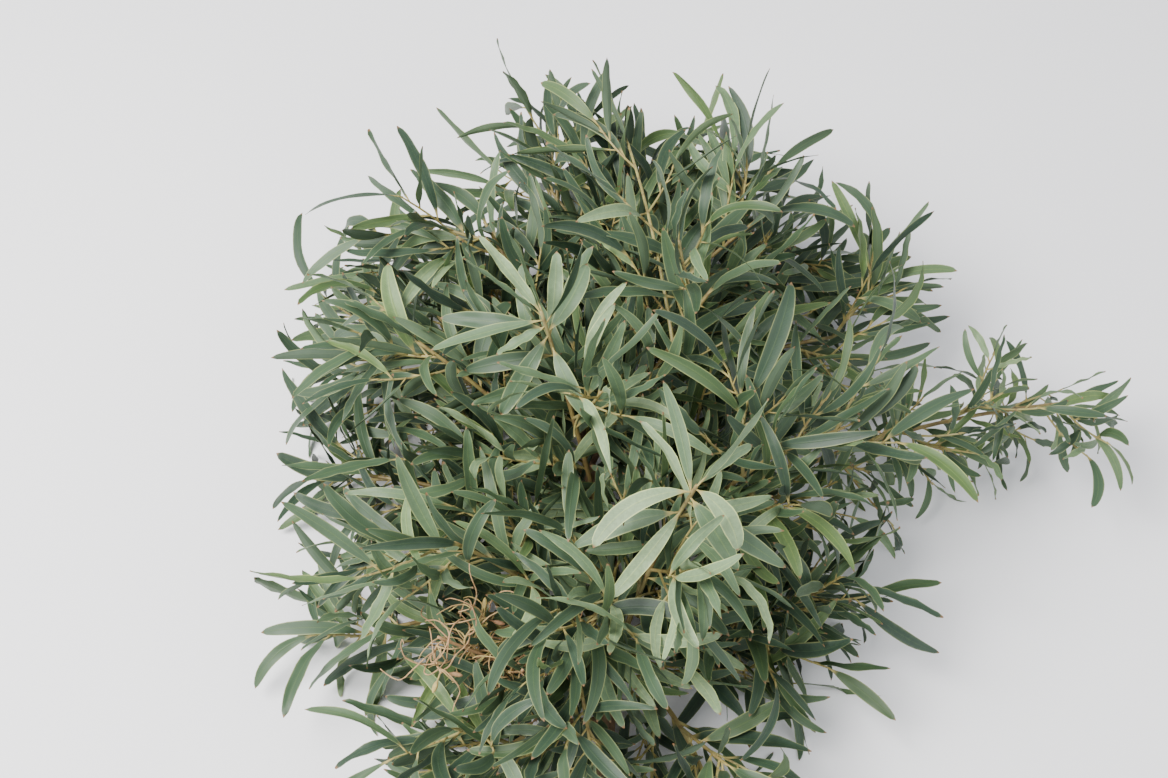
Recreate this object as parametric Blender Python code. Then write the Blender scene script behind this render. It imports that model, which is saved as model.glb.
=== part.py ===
"""A cut eucalyptus branch, lying on a surface: one woody stem, leafy side shoots and a tuft of dried flower stalks.

Metres, +Z up. The stem's cut end points to -Y and the tips to +Y. The origin is the middle of the base of the whole
branch's box, so the surface that it lies on is z = 0.
"""

import itertools
import math
import random
from types import SimpleNamespace

import bmesh
import bpy
from mathutils import Matrix, Quaternion, Vector
from mathutils.bvhtree import BVHTree

NAME = "eucalyptus_branch"
SEED = "eucalyptus-7"
UP = Vector((0.0, 0.0, 1.0))
RIGHT = Vector((1.0, 0.0, 0.0))
GOLDEN_TURN = math.radians(137.5)

# The woody stem. Its heel lies on the surface, and the rest rises into the head.
STEM_LENGTH = 0.40
STEM_RADIUS, STEM_TIP_RADIUS = 0.0066, 0.0026
STEM_RISE, STEM_RISE_SPAN = 0.055, 0.62
STEM_SWAY, STEM_SWAY_SPAN, STEM_SWAY_RATE = 0.014, 0.3, 7.0
STEM_STEPS = 14
STEM_LOOK_BACK = 0.02
HEEL_SHARE = 0.15
FACET_TURN = math.pi / 8.0

# The stubs that carry the shoots, and the straight foot of each shoot
STUB_REACH = 0.004
STUB_SHARES = (1.9, 1.25)
LEAST_SQUARE = 0.5
SEAT_GAP = 0.0003
STRAIGHT_FOOT = 0.006

# The leafy side shoots: where each leaves the stem and where it ends, which together fill a low dome
SHOOT_ENDS = {
    "front_spray": (0.19, Vector((0.052, 0.124, 0.205))),
    "second_spray": (0.42, Vector((-0.0415, 0.250, 0.205))),
    "reaching_shoot": (0.37, Vector((0.342, 0.270, 0.070))),
    "shoot_01": (0.14, Vector((-0.090, 0.000, 0.040))),
    "shoot_02": (0.235, Vector((0.065, 0.000, 0.036))),
    "shoot_03": (0.265, Vector((-0.145, 0.105, 0.046))),
    "shoot_04": (0.28, Vector((0.122, 0.115, 0.040))),
    "shoot_05": (0.385, Vector((-0.165, 0.220, 0.050))),
    "shoot_06": (0.54, Vector((-0.172, 0.335, 0.050))),
    "shoot_07": (0.58, Vector((0.192, 0.345, 0.046))),
    "shoot_08": (0.73, Vector((-0.129, 0.411, 0.048))),
    "shoot_09": (0.78, Vector((0.145, 0.425, 0.045))),
    "shoot_10": (0.90, Vector((-0.040, 0.458, 0.075))),
    "shoot_11": (0.215, Vector((-0.095, 0.120, 0.140))),
    "shoot_12": (0.325, Vector((0.125, 0.190, 0.150))),
    "shoot_13": (0.475, Vector((-0.125, 0.265, 0.150))),
    "shoot_14": (0.50, Vector((0.070, 0.290, 0.175))),
    "shoot_15": (0.62, Vector((-0.085, 0.375, 0.140))),
    "shoot_16": (0.67, Vector((0.110, 0.385, 0.130))),
    "shoot_17": (0.35, Vector((-0.020, 0.035, 0.105))),
}
SHOOT_RADIUS, SHOOT_TIP_RADIUS = 0.0022, 0.0012
SHOOT_STEPS, SHOOT_WILD = 6, 0.004
SHOOT_AHEAD, SHOOT_LIFT = 0.35, 0.15
LEADER_LENGTH, LEADER_PULL = 0.075, 0.3
BEND_SHARE = 0.45

# The sprays that lie open on top, spread in a plane that tilts to -Y. Each leaf has its place along the stem, its
# turn in that plane from +X and its roll, both in degrees, its lift out of the plane, its length and width in
# millimetres, and how far it bends within its blade and out of it.
SPREAD_TILT = math.radians(60.0)
SPREAD_UP = Vector((0.0, math.sin(SPREAD_TILT), math.cos(SPREAD_TILT)))
SPREAD_OUT = Vector((0.0, -math.cos(SPREAD_TILT), math.sin(SPREAD_TILT)))
SPREAD_LEAVES = {
    "front_spray": (
        (0.97, 172, 10, 0.10, 72, 11.5, 1.15, 0.5),
        (0.88, 186, 15, -0.15, 72, 12.5, 0.35, 0.3),
        (0.985, -25, -10, 0.15, 46, 13.0, -0.9, 0.5),
        (0.95, -52, 10, 0.05, 54, 13.0, -0.2, 0.4),
        (0.93, -36, 0, 0.0, 74, 12.0, 0.1, 0.35),
        (0.96, 96, 0, 0.0, 70, 8.5, 0.25, 0.1),
        (0.99, 52, 25, 0.15, 44, 8.0, -0.7, 0.3),
        (1.0, 46, 50, 0.1, 66, 7.5, 0.15, 0.1),
        (0.80, 104, 70, 0.1, 55, 8.0, 0.4, 0.2),
        (0.90, 236, 0, -0.1, 72, 10.5, -0.15, 0.2),
        (0.74, 192, 35, 0.05, 50, 9.5, -0.4, 0.3),
        (0.82, 228, 70, 0.1, 48, 8.0, 0.0, 0.1),
        (0.86, 8, 0, -0.2, 64, 9.0, 0.1, 0.2),
    ),
    "second_spray": (
        (0.97, 190, 30, 0.1, 74, 8.5, 0.15, 0.1),
        (0.95, 212, 25, 0.15, 36, 7.5, -0.1, 0.1),
        (0.93, 50, 0, -0.1, 52, 12.5, 0.35, 0.1),
        (0.96, 52, 60, 0.15, 60, 7.5, 0.65, 0.1),
        (0.80, 34, 40, 0.1, 58, 7.5, 0.25, 0.1),
        (0.76, 18, 30, 0.1, 30, 6.0, 0.2, 0.1),
        (0.88, -68, 5, 0.1, 52, 11.0, 0.1, 0.2),
        (0.92, 236, 0, 0.0, 60, 12.5, 0.1, 0.3),
        (0.99, 128, 20, 0.1, 64, 8.5, 0.0, 0.1),
        (1.0, 112, 70, 0.2, 56, 7.5, 0.1, 0.0),
        (0.98, 146, 60, 0.2, 62, 7.5, -0.1, 0.0),
        (0.94, 170, 0, -0.05, 70, 11.5, 0.1, 0.2),
        (0.85, 184, 0, -0.15, 62, 11.5, 0.15, 0.2),
        (0.91, 82, 10, 0.0, 56, 10.0, 0.1, 0.1),
    ),
}
SPREAD_TRIES, SPREAD_TURN, SPREAD_LIFT, SPREAD_TWIST = 40, 0.02, 0.015, 0.25
OPEN_ABOVE, OPEN_FROM, OPEN_RADII = 0.11, 0.014, (0.008, 0.016, 0.024, 0.032, 0.040)
SPREAD_FROM = 0.62

# How large the twigs and leaves of a shoot are, where they are not whole
SLENDER = {"reaching_shoot": 0.62}

# The twigs on each shoot
TWIG_SPACING, FEWEST_TWIGS = 0.045, 4
TWIG_FIRST, TWIG_LAST = 0.22, 0.92
TWIG_LENGTH, TWIG_LENGTH_FILL = 0.075, (0.75, 1.15)
FIRST_TWIG_SCALE, LAST_TWIG_SCALE, CRAMPED_TWIG_SCALE = 1.1, 0.6, 0.6
TWIG_ANGLE = (0.65, 1.0)
TWIG_RADIUS, TWIG_TIP_RADIUS = 0.00125, 0.00105
TWIG_STEPS = 3
TWIG_PULL, TWIG_LIFT, TWIG_STRAY = 0.6, 0.25, 0.4
TWIG_WILD, TWIG_WILDER = 0.25, 0.06

# The leaves
LEAF_LENGTH, LEAF_LENGTH_SPREAD = 0.070, 0.015
LEAF_WIDTH, LEAF_WIDTH_SPREAD = 0.0106, 0.0022
PETIOLE_SHARE, PETIOLE_WIDTH = 0.09, 0.0013
BLADE_THICKNESS = 0.0012
BASE_POWER, TIP_POWER = 0.62, (0.50, 0.80)
LEAF_STEPS = 16
BLADE_STATIONS = (0, 3, 8, 13, 16)
LEAF_ANGLE, END_LEAF_ANGLE = (0.6, 1.1), (0.05, 0.35)
LEAF_LIFT, LEAF_STRAY = (-0.15, 0.25), (0.3, 1.0)
LEAF_SICKLE, LEAF_ARCH, LEAF_TWIST = (0.1, 0.9), (-0.25, 1.1), (-0.7, 0.7)
LEAF_FACES_UP, LEAF_FACES_IN, LEAST_FACING = 0.9, 0.2, 0.2
LEAF_WILD, LEAF_WILDER = 0.3, 0.05
CRAMPED_LEAF_SCALE = 0.75
FIRST_LEAF_TURN = 0.7
END_SHARE = 0.97
AXIS_LEAVES = (END_SHARE, 0.88, 0.74, 0.58, 0.42)
TWIG_LEAVES = (END_SHARE, 0.72, 0.42)

# The dried flower stalks
TUFT_SHARE, TUFT_END = 0.17, Vector((-0.105, 0.070, 0.110))
TUFT_STEPS = 5
TUFT_RADIUS, TUFT_TIP_RADIUS = 0.0014, 0.0010
STALKS, FIRST_STALK = 7, 0.40
STALK_LENGTH, STALK_LENGTH_FILL, STALK_RADIUS = 0.026, (0.7, 1.3), 0.0007
STALK_AHEAD, STALK_WILD = (0.2, 0.9), 0.5
STALK_CURL, STALK_STEPS = 2.6, 4
BUDS_EACH, BUD_SHARE, BUD_AHEAD, BUD_WILD = 2, 0.96, 0.8, 0.3
BUD_LENGTH, BUD_RADIUS, BUD_WIDEST = 0.0075, 0.0016, 0.45
PEDICEL_LENGTH = 0.006

# Room kept between what doesn't touch, and how often each piece tries for it
LEAF_CLEARANCE = 0.0006
WOOD_CLEARANCE = 0.0008
FLOOR_CLEARANCE = 0.010
CELL = 0.03
LEAF_TRIES = 60
WOOD_TRIES = 40

# The finish
SHARP_EDGE = math.radians(40.0)
WELD, SLIVER, SHORT_EDGE = 1e-6, 3e-5, 1e-4
HEAL_ROUNDS = 8
BARK = ((0.28, 0.19, 0.11), 0.65)
FOLIAGE = ((0.15, 0.22, 0.13), 0.55)
DRIED = ((0.36, 0.20, 0.11), 0.75)


def mixed(a, b, share):
    return a + (b - a) * share


def eased(share):
    share = min(max(share, 0.0), 1.0)
    return share * share * (3.0 - 2.0 * share)


def tapered(first, last, count):
    return [mixed(first, last, k / (count - 1)) for k in range(count)]


def square_to(direction, turn):
    """A unit vector square to direction, turned round it from the side nearest to +X, upwards if it points to +Y."""
    reference = RIGHT if abs(direction.dot(RIGHT)) < 0.95 else UP
    across = (reference - direction * reference.dot(direction)).normalized()
    return Quaternion(direction, -turn) @ across


def scatter(rng):
    """A random unit vector."""
    while True:
        v = Vector([rng.uniform(-1.0, 1.0) for _ in range(3)])
        if 0.1 < v.length < 1.0:
            return v.normalized()


class Space:
    """The pieces placed so far, sorted into cells, to keep the next one clear of them."""

    def __init__(self):
        self.cells = {}

    def cells_of(self, points):
        spans = []
        for i in range(3):
            values = [p[i] for p in points]
            spans.append(range(int(min(values) // CELL), int(max(values) // CELL) + 1))
        return itertools.product(*spans)

    def add(self, points, faces, owner):
        piece = (BVHTree.FromPolygons(points, faces), owner)
        for cell in self.cells_of(points):
            self.cells.setdefault(cell, []).append(piece)

    def clear(self, points, faces, but=()):
        tree, seen = BVHTree.FromPolygons(points, faces), set()
        for cell in self.cells_of(points):
            for other, owner in self.cells.get(cell, ()):
                if owner in but or id(other) in seen:
                    continue
                seen.add(id(other))
                if tree.overlap(other):
                    return False
        return True


def ring_faces(rings, around):
    """Faces of a tube of rings with this many points around, closed by a flat face at each end."""
    faces = []
    for k, j in itertools.product(range(rings - 1), range(around)):
        a, b = k * around + j, k * around + (j + 1) % around
        faces += [(a, b, b + around), (a, b + around, a + around)]
    last = (rings - 1) * around
    faces += [(0, j + 1, j) for j in range(1, around - 1)]
    faces += [(last, last + j, last + j + 1) for j in range(1, around - 1)]
    return faces


def square_tube(points, radii):
    """A four-sided tube, which stands for a stem while other pieces are placed."""
    placed = []
    for k, (p, r) in enumerate(zip(points, radii)):
        along = (points[min(k + 1, len(points) - 1)] - points[max(k - 1, 0)]).normalized()
        side = square_to(along, 0.0)
        other = along.cross(side)
        placed += [p + side * r, p + other * r, p - side * r, p - other * r]
    return placed, ring_faces(len(points), 4)


def grow(start, heading, length, goal, pull, steps):
    """Points along a stem that sets out along heading, turns towards goal and stays off the surface."""
    heading = heading.normalized()
    points = [start.copy()]
    step = length / steps
    for k in range(steps):
        if k:
            heading = (heading + goal * (pull / steps)).normalized()
        drop = FLOOR_CLEARANCE - points[-1].z
        if heading.z * step < drop:
            heading.z = drop / step
            heading.normalize()
        points.append(points[-1] + heading * step)
    return points


def grow_to(start, heading, end, steps):
    """Points along a stem that sets out straight along heading and bends round to end there."""
    foot = start + heading * STRAIGHT_FOOT
    bend = foot + heading * (end - foot).length * BEND_SHARE
    shares = [k / (steps - 1) for k in range(steps)]
    return [start] + [foot.lerp(bend, t).lerp(bend.lerp(end, t), t) for t in shares]


def path_length(points):
    return sum((b - a).length for a, b in zip(points, points[1:]))


def along_path(points, share):
    """The place and the direction at this share of a path."""
    at = share * (len(points) - 1)
    k = min(int(at), len(points) - 2)
    return points[k].lerp(points[k + 1], at - k), (points[k + 1] - points[k]).normalized()


def stem_point(share):
    lift = STEM_RADIUS * math.cos(FACET_TURN)
    rise = STEM_RISE * eased((share - HEEL_SHARE) / STEM_RISE_SPAN)
    sway = STEM_SWAY * eased((share - HEEL_SHARE) / STEM_SWAY_SPAN) * math.sin(share * STEM_SWAY_RATE)
    return Vector((sway, STEM_LENGTH * share, lift + rise))


def stem_direction(share):
    return (stem_point(share) - stem_point(share - STEM_LOOK_BACK)).normalized()


def leaf_width(share, leaf):
    """The width of a lance-shaped blade on a thin stalk, at this share of its length."""
    s = (share - PETIOLE_SHARE) / (1.0 - PETIOLE_SHARE)
    if s <= 0.0:
        return PETIOLE_WIDTH
    widest = BASE_POWER / (BASE_POWER + leaf.blunt)
    peak = widest**BASE_POWER * (1.0 - widest) ** leaf.blunt
    return max(PETIOLE_WIDTH * (1.0 - s), leaf.width * s**BASE_POWER * (1.0 - s) ** leaf.blunt / peak)


def leaf_line(root, heading, facing, leaf):
    """The leaf's stations from stalk to tip: the place, the width's direction, the normal and the width."""
    along = heading.normalized()
    side = facing.cross(along).normalized()
    normal = along.cross(side)
    place = root.copy()
    stations = []
    for k in range(LEAF_STEPS + 1):
        width = leaf_width(k / LEAF_STEPS, leaf)
        stations.append(SimpleNamespace(place=place.copy(), side=side, normal=normal, width=width))
        turn = Quaternion(normal, leaf.sickle / LEAF_STEPS)
        turn = turn @ Quaternion(side, leaf.arch / LEAF_STEPS)
        turn = turn @ Quaternion(along, leaf.twist / LEAF_STEPS)
        along, side, normal = turn @ along, turn @ side, turn @ normal
        place += along * (leaf.length / LEAF_STEPS)
    return stations


def press_on_floor(stations):
    """Lays a leaf flat on the surface where it would dip under it. Its stalk can't be pressed."""
    for k, s in enumerate(stations):
        ridge = s.place + s.normal * BLADE_THICKNESS
        if min(s.place.z - abs(s.side.z) * s.width / 2.0, ridge.z) >= 0.0:
            continue
        if k < 2:
            return False
        s.side = Vector((s.side.x, s.side.y, 0.0)).normalized()
        s.place.z = 0.0 if s.normal.z > 0.0 else BLADE_THICKNESS
        s.normal = UP if s.normal.z > 0.0 else -UP
    return True


def blade(stations, chosen, room=0.0):
    """A closed blade: at each chosen station a flat underside with a ridge over it, and a point at the tip."""
    points = []
    for k in chosen[:-1]:
        s = stations[k]
        across = s.side * (s.width / 2.0 + room)
        under = s.place - s.normal * room
        points += [under + across, s.place + s.normal * (BLADE_THICKNESS + room), under - across]
    points.append(stations[chosen[-1]].place)
    rings = len(chosen) - 1
    last, tip = (rings - 1) * 3, rings * 3
    faces = ring_faces(rings, 3)[:-1]
    faces += [(last, last + 1, tip), (last + 1, last + 2, tip), (last + 2, last, tip)]
    return points, faces


def place_wood(space, name, parent, tries):
    """The first of the tried stems that is clear of everything placed but its parent. Each is (points, radii)."""
    for points, radii in tries:
        room = square_tube(points, [r + WOOD_CLEARANCE for r in radii])
        if space.clear(*room, but=(parent,)):
            space.add(*room, name)
            return SimpleNamespace(name=name, points=points, radii=radii)
    return None


def seated(share, heading):
    """Where a side shoot with this heading leaves the stem: the end of its stub there."""
    place, ahead = stem_point(share), stem_direction(share)
    radius = mixed(STEM_RADIUS, STEM_TIP_RADIUS, share)
    across = max(heading.cross(ahead).length, LEAST_SQUARE)
    return place, place + heading * (radius / across + STUB_REACH)


def new_shoot(axis, root, stub_end):
    return SimpleNamespace(name=axis.name, axis=axis, root=root, stub_end=stub_end, twigs=[], leaves=[])


def grow_shoot(space, name):
    """A side shoot, from its place on the stem to its own end or near it."""
    share, end = SHOOT_ENDS[name]
    for attempt in range(WOOD_TRIES):
        rng = random.Random(f"{SEED}-{name}-{attempt}")
        near = end + scatter(rng) * SHOOT_WILD * attempt
        near.z = max(near.z, FLOOR_CLEARANCE)
        aim = (near - stem_point(share)).normalized()
        heading = (aim + stem_direction(share) * SHOOT_AHEAD + UP * SHOOT_LIFT).normalized()
        root, stub_end = seated(share, heading)
        points = grow_to(stub_end + heading * SEAT_GAP, heading, near, SHOOT_STEPS)
        axis = place_wood(space, name, "main_stem", [(points, tapered(SHOOT_RADIUS, SHOOT_TIP_RADIUS, len(points)))])
        if axis:
            return new_shoot(axis, root, stub_end)
    raise RuntimeError(f"{name} finds no room")


def grow_leader(space):
    """The shoot that ends the stem."""
    end, ahead = stem_point(1.0), stem_direction(1.0)
    goal = (RIGHT - UP).normalized()
    points = grow(end + ahead * SEAT_GAP, ahead, LEADER_LENGTH, goal, LEADER_PULL, SHOOT_STEPS)
    axis = place_wood(space, "leader", "main_stem", [(points, tapered(SHOOT_RADIUS, SHOOT_TIP_RADIUS, len(points)))])
    return new_shoot(axis, end, end)


def twig_tries(shoot, number, share):
    root, ahead = along_path(shoot.axis.points, share)
    for attempt in range(WOOD_TRIES):
        rng = random.Random(f"{SEED}-{shoot.name}-twig-{number}-{attempt}")
        wild = TWIG_WILD + TWIG_WILDER * attempt
        outward = square_to(ahead, number * GOLDEN_TURN + rng.uniform(-wild, wild))
        angle = rng.uniform(*TWIG_ANGLE)
        heading = ahead * math.cos(angle) + outward * math.sin(angle)
        goal = (ahead + UP * TWIG_LIFT + scatter(rng) * TWIG_STRAY).normalized()
        length = TWIG_LENGTH * mixed(FIRST_TWIG_SCALE, LAST_TWIG_SCALE, share) * rng.uniform(*TWIG_LENGTH_FILL)
        length *= SLENDER.get(shoot.name, 1.0) * (1.0 if attempt < WOOD_TRIES / 2 else CRAMPED_TWIG_SCALE)
        points = grow(root, heading, length, goal, TWIG_PULL, TWIG_STEPS)
        yield points, tapered(TWIG_RADIUS, TWIG_TIP_RADIUS, len(points))


def grow_twigs(space, shoot, first, step):
    """Every step-th twig of a shoot, from the first. Numbers and places are those of the whole set."""
    last = SPREAD_FROM if shoot.name in SPREAD_LEAVES else TWIG_LAST
    twiggy = path_length(shoot.axis.points) * (last - TWIG_FIRST)
    count = max(FEWEST_TWIGS, round(2.0 * twiggy / TWIG_SPACING))
    for number in range(first, count, step):
        share = mixed(TWIG_FIRST, last, number / (count - 1))
        name = f"{shoot.name}_twig_{number}"
        twig = place_wood(space, name, shoot.axis.name, twig_tries(shoot, number, share))
        if twig:
            shoot.twigs.append(twig)


def random_leaf(rng, scale):
    return SimpleNamespace(
        length=(LEAF_LENGTH + rng.uniform(-1.0, 1.0) * LEAF_LENGTH_SPREAD) * scale,
        width=(LEAF_WIDTH + rng.uniform(-1.0, 1.0) * LEAF_WIDTH_SPREAD) * scale**0.5,
        sickle=rng.choice((-1.0, 1.0)) * rng.uniform(*LEAF_SICKLE),
        arch=rng.uniform(*LEAF_ARCH),
        twist=rng.uniform(*LEAF_TWIST),
        blunt=rng.uniform(*TIP_POWER),
    )


def place_leaf(space, shoot, wood, share, turn, key):
    """One leaf, at the first of the tried attitudes that is clear of everything else."""
    root, ahead = along_path(wood.points, share)
    for attempt in range(LEAF_TRIES):
        rng = random.Random(f"{SEED}-{key}-{attempt}")
        wild = LEAF_WILD + LEAF_WILDER * attempt
        outward = square_to(ahead, turn + rng.uniform(-wild, wild))
        angle = rng.uniform(*(END_LEAF_ANGLE if share == END_SHARE else LEAF_ANGLE))
        heading = ahead * math.cos(angle) + outward * math.sin(angle)
        heading = (heading + UP * rng.uniform(*LEAF_LIFT)).normalized()
        facing = UP * LEAF_FACES_UP - outward * LEAF_FACES_IN + scatter(rng) * rng.uniform(*LEAF_STRAY)
        scale = 1.0 if attempt < LEAF_TRIES / 2 else CRAMPED_LEAF_SCALE
        leaf = random_leaf(rng, scale * SLENDER.get(shoot.name, 1.0))
        if facing.cross(heading).length < LEAST_FACING:
            continue
        stations = leaf_line(root, heading, facing, leaf)
        if not press_on_floor(stations):
            continue
        room = blade(stations, BLADE_STATIONS, LEAF_CLEARANCE)
        if space.clear(*room, but=(wood.name,)):
            space.add(*room, key)
            shoot.leaves.append(SimpleNamespace(key=key, stations=stations, leaf=leaf))
            return


def spread_leaf(space, shoot, number):
    """One leaf of an open spray, at the first attitude near its own that is clear of the rest of the branch."""
    share, turn, roll, lift, length, width, sickle, arch = SPREAD_LEAVES[shoot.name][number]
    root, _ = along_path(shoot.axis.points, share)
    key = f"{shoot.name}_spread_{number}"
    own = {shoot.name, f"{shoot.name}_air"} | {leaf.key for leaf in shoot.leaves}
    for attempt in range(SPREAD_TRIES):
        rng = random.Random(f"{SEED}-{key}-{attempt}")
        around = math.radians(turn) + rng.uniform(-1.0, 1.0) * SPREAD_TURN * attempt
        heading = RIGHT * math.cos(around) + SPREAD_UP * math.sin(around)
        heading += SPREAD_OUT * (lift + rng.uniform(-1.0, 1.0) * SPREAD_LIFT * attempt)
        facing = Quaternion(heading.normalized(), math.radians(roll)) @ SPREAD_OUT
        twist, blunt = rng.uniform(-SPREAD_TWIST, SPREAD_TWIST), rng.uniform(*TIP_POWER)
        leaf = SimpleNamespace(
            length=length / 1000.0, width=width / 1000.0, sickle=sickle, arch=arch, twist=twist, blunt=blunt
        )
        stations = leaf_line(root, heading, facing, leaf)
        room = blade(stations, BLADE_STATIONS, LEAF_CLEARANCE)
        if space.clear(*room, but=own):
            space.add(*room, key)
            shoot.leaves.append(SimpleNamespace(key=key, stations=stations, leaf=leaf))
            return


def spread_spray(space, shoot):
    """The leaves of a spray that lies open on top, and the air over it that no other piece enters."""
    end = shoot.axis.points[-1]
    for radius in OPEN_RADII:
        air = square_tube([end + SPREAD_OUT * OPEN_FROM, end + SPREAD_OUT * OPEN_ABOVE], [radius, radius])
        space.add(*air, f"{shoot.name}_air")
    for number in range(len(SPREAD_LEAVES[shoot.name])):
        spread_leaf(space, shoot, number)


def leaves_on(space, shoot, wood, shares):
    """Leaves at these shares of a stem, turned round it in order."""
    for k, share in enumerate(shares):
        place_leaf(space, shoot, wood, share, k * GOLDEN_TURN + FIRST_LEAF_TURN, f"{wood.name}_leaf_{k}")


def grow_tuft(space):
    """The dried flower stalks: a thin stem, its curled stalks and the buds at their ends."""
    aim = (TUFT_END - stem_point(TUFT_SHARE)).normalized()
    root, stub_end = seated(TUFT_SHARE, aim)
    points = grow_to(stub_end + aim * SEAT_GAP, aim, TUFT_END, TUFT_STEPS)
    radii = tapered(TUFT_RADIUS, TUFT_TIP_RADIUS, len(points))
    axis = place_wood(space, "flower_tuft", "main_stem", [(points, radii)])
    tuft = SimpleNamespace(name="flower_tuft", axis=axis, root=root, stub_end=stub_end, stalks=[], buds=[])
    for number in range(STALKS):
        stalk = place_wood(space, f"stalk_{number}", "flower_tuft", stalk_tries(tuft, number))
        if stalk:
            tuft.stalks.append(stalk)
            tuft.buds += buds_at(space, stalk)
    return tuft


def stalk_tries(tuft, number):
    root, ahead = along_path(tuft.axis.points, mixed(FIRST_STALK, END_SHARE, number / (STALKS - 1)))
    for attempt in range(WOOD_TRIES):
        rng = random.Random(f"{SEED}-stalk-{number}-{attempt}")
        outward = square_to(ahead, number * GOLDEN_TURN + rng.uniform(-STALK_WILD, STALK_WILD))
        heading = outward + ahead * rng.uniform(*STALK_AHEAD)
        length = STALK_LENGTH * rng.uniform(*STALK_LENGTH_FILL)
        points = grow(root, heading, length, scatter(rng), STALK_CURL, STALK_STEPS)
        yield points, [STALK_RADIUS] * len(points)


def buds_at(space, stalk):
    """The buds at a stalk's end, as (root, heading) for each that has room."""
    rng = random.Random(f"{SEED}-{stalk.name}-buds")
    root, ahead = along_path(stalk.points, BUD_SHARE)
    found = []
    for k in range(BUDS_EACH):
        outward = square_to(ahead, k * math.tau / BUDS_EACH + rng.uniform(-BUD_WILD, BUD_WILD))
        heading = (ahead * BUD_AHEAD + outward).normalized()
        tip = root + heading * (PEDICEL_LENGTH + BUD_LENGTH)
        room = square_tube([root + heading * PEDICEL_LENGTH, tip], [BUD_RADIUS + LEAF_CLEARANCE] * 2)
        if tip.z > FLOOR_CLEARANCE and space.clear(*room, but=(stalk.name, "flower_tuft")):
            space.add(*room, "flower_bud")
            found.append((root, heading))
    return found


def grow_branch():
    """The whole branch as it stands in the part: every shoot's axis, then the twigs, then the leaves."""
    space = Space()
    points = [stem_point(k / STEM_STEPS) for k in range(STEM_STEPS + 1)]
    stem = SimpleNamespace(name="main_stem", points=points, radii=tapered(STEM_RADIUS, STEM_TIP_RADIUS, len(points)))
    space.add(*square_tube(points, [r + WOOD_CLEARANCE for r in stem.radii]), "main_stem")
    shoots = [grow_shoot(space, name) for name in SPREAD_LEAVES]
    for shoot in shoots:
        spread_spray(space, shoot)
    tuft = grow_tuft(space)
    shoots.append(grow_leader(space))
    shoots += [grow_shoot(space, name) for name in SHOOT_ENDS if name not in SPREAD_LEAVES]
    for shoot in shoots:
        grow_twigs(space, shoot, 0, 2)
    for shoot in shoots:
        shares = [share for share in AXIS_LEAVES if share < SPREAD_FROM or shoot.name not in SPREAD_LEAVES]
        leaves_on(space, shoot, shoot.axis, shares)
    for shoot in shoots:
        for twig in shoot.twigs:
            leaves_on(space, shoot, twig, TWIG_LEAVES)
    return SimpleNamespace(stem=stem, shoots=shoots, tuft=tuft, space=space)


def material(name, finish):
    color, roughness = finish
    made = bpy.data.materials.new(name)
    made.use_nodes = True
    shader = made.node_tree.nodes["Principled BSDF"]
    shader.inputs["Base Color"].default_value = (*color, 1.0)
    shader.inputs["Roughness"].default_value = roughness
    shader.inputs["Metallic"].default_value = 0.0
    return made


def mesh_object(name, mesh, collection):
    obj = bpy.data.objects.new(name, mesh)
    collection.objects.link(obj)
    return obj


def wood_object(name, points, radii, collection, sides=6, tilt=0.0):
    """A tapered stem with this many sides, as a mesh: a curve with a bevel and filled caps, its caps welded."""
    curve = bpy.data.curves.new(name, "CURVE")
    curve.dimensions = "3D"
    curve.bevel_depth = 1.0
    curve.bevel_resolution = (sides - 4) // 2
    curve.use_fill_caps = True
    spline = curve.splines.new("POLY")
    spline.points.add(len(points) - 1)
    for target, point, radius in zip(spline.points, points, radii):
        target.co = (*point, 1.0)
        target.radius = radius
        target.tilt = tilt
    guide = mesh_object(name, curve, collection)
    bpy.context.view_layer.update()
    mesh = bpy.data.meshes.new_from_object(guide.evaluated_get(bpy.context.evaluated_depsgraph_get()))
    bpy.data.objects.remove(guide)
    bm = bmesh.new()
    bm.from_mesh(mesh)
    bmesh.ops.remove_doubles(bm, verts=bm.verts, dist=WELD)
    bmesh.ops.recalc_face_normals(bm, faces=bm.faces)
    bm.to_mesh(mesh)
    bm.free()
    return mesh_object(name, mesh, collection)


def blade_object(name, stations, collection):
    points, faces = blade(stations, BLADE_STATIONS)
    mesh = bpy.data.meshes.new(name)
    mesh.from_pydata(points, [], faces)
    return mesh_object(name, mesh, collection)


def bud_object(name, base, heading, collection):
    """A spent bud on its own thin stalk."""
    reaches = [0.0, PEDICEL_LENGTH, PEDICEL_LENGTH + BUD_LENGTH * BUD_WIDEST, PEDICEL_LENGTH + BUD_LENGTH]
    radii = [STALK_RADIUS, STALK_RADIUS, BUD_RADIUS, STALK_RADIUS]
    return wood_object(name, [base + heading * reach for reach in reaches], radii, collection, sides=4)


def height(face):
    return 2.0 * face.calc_area() / max(edge.calc_length() for edge in face.edges)


def neighbours(vert):
    return {edge.other_vert(vert) for edge in vert.link_edges}


def heal_slivers(bm):
    """Closes up the slivers that a union leaves: a short edge is merged, and the long edge of a flat one is turned."""
    for _ in range(HEAL_ROUNDS):
        for face in [f for f in bm.faces if height(f) < SLIVER]:
            if not face.is_valid:
                continue
            edges = sorted(face.edges, key=bmesh.types.BMEdge.calc_length)
            a, b = edges[0].verts
            if edges[0].calc_length() > SHORT_EDGE:
                bmesh.utils.edge_rotate(edges[-1], True)
            elif len(neighbours(a) & neighbours(b)) == 2:
                bmesh.ops.pointmerge(bm, verts=[a, b], merge_co=a.co)


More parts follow.
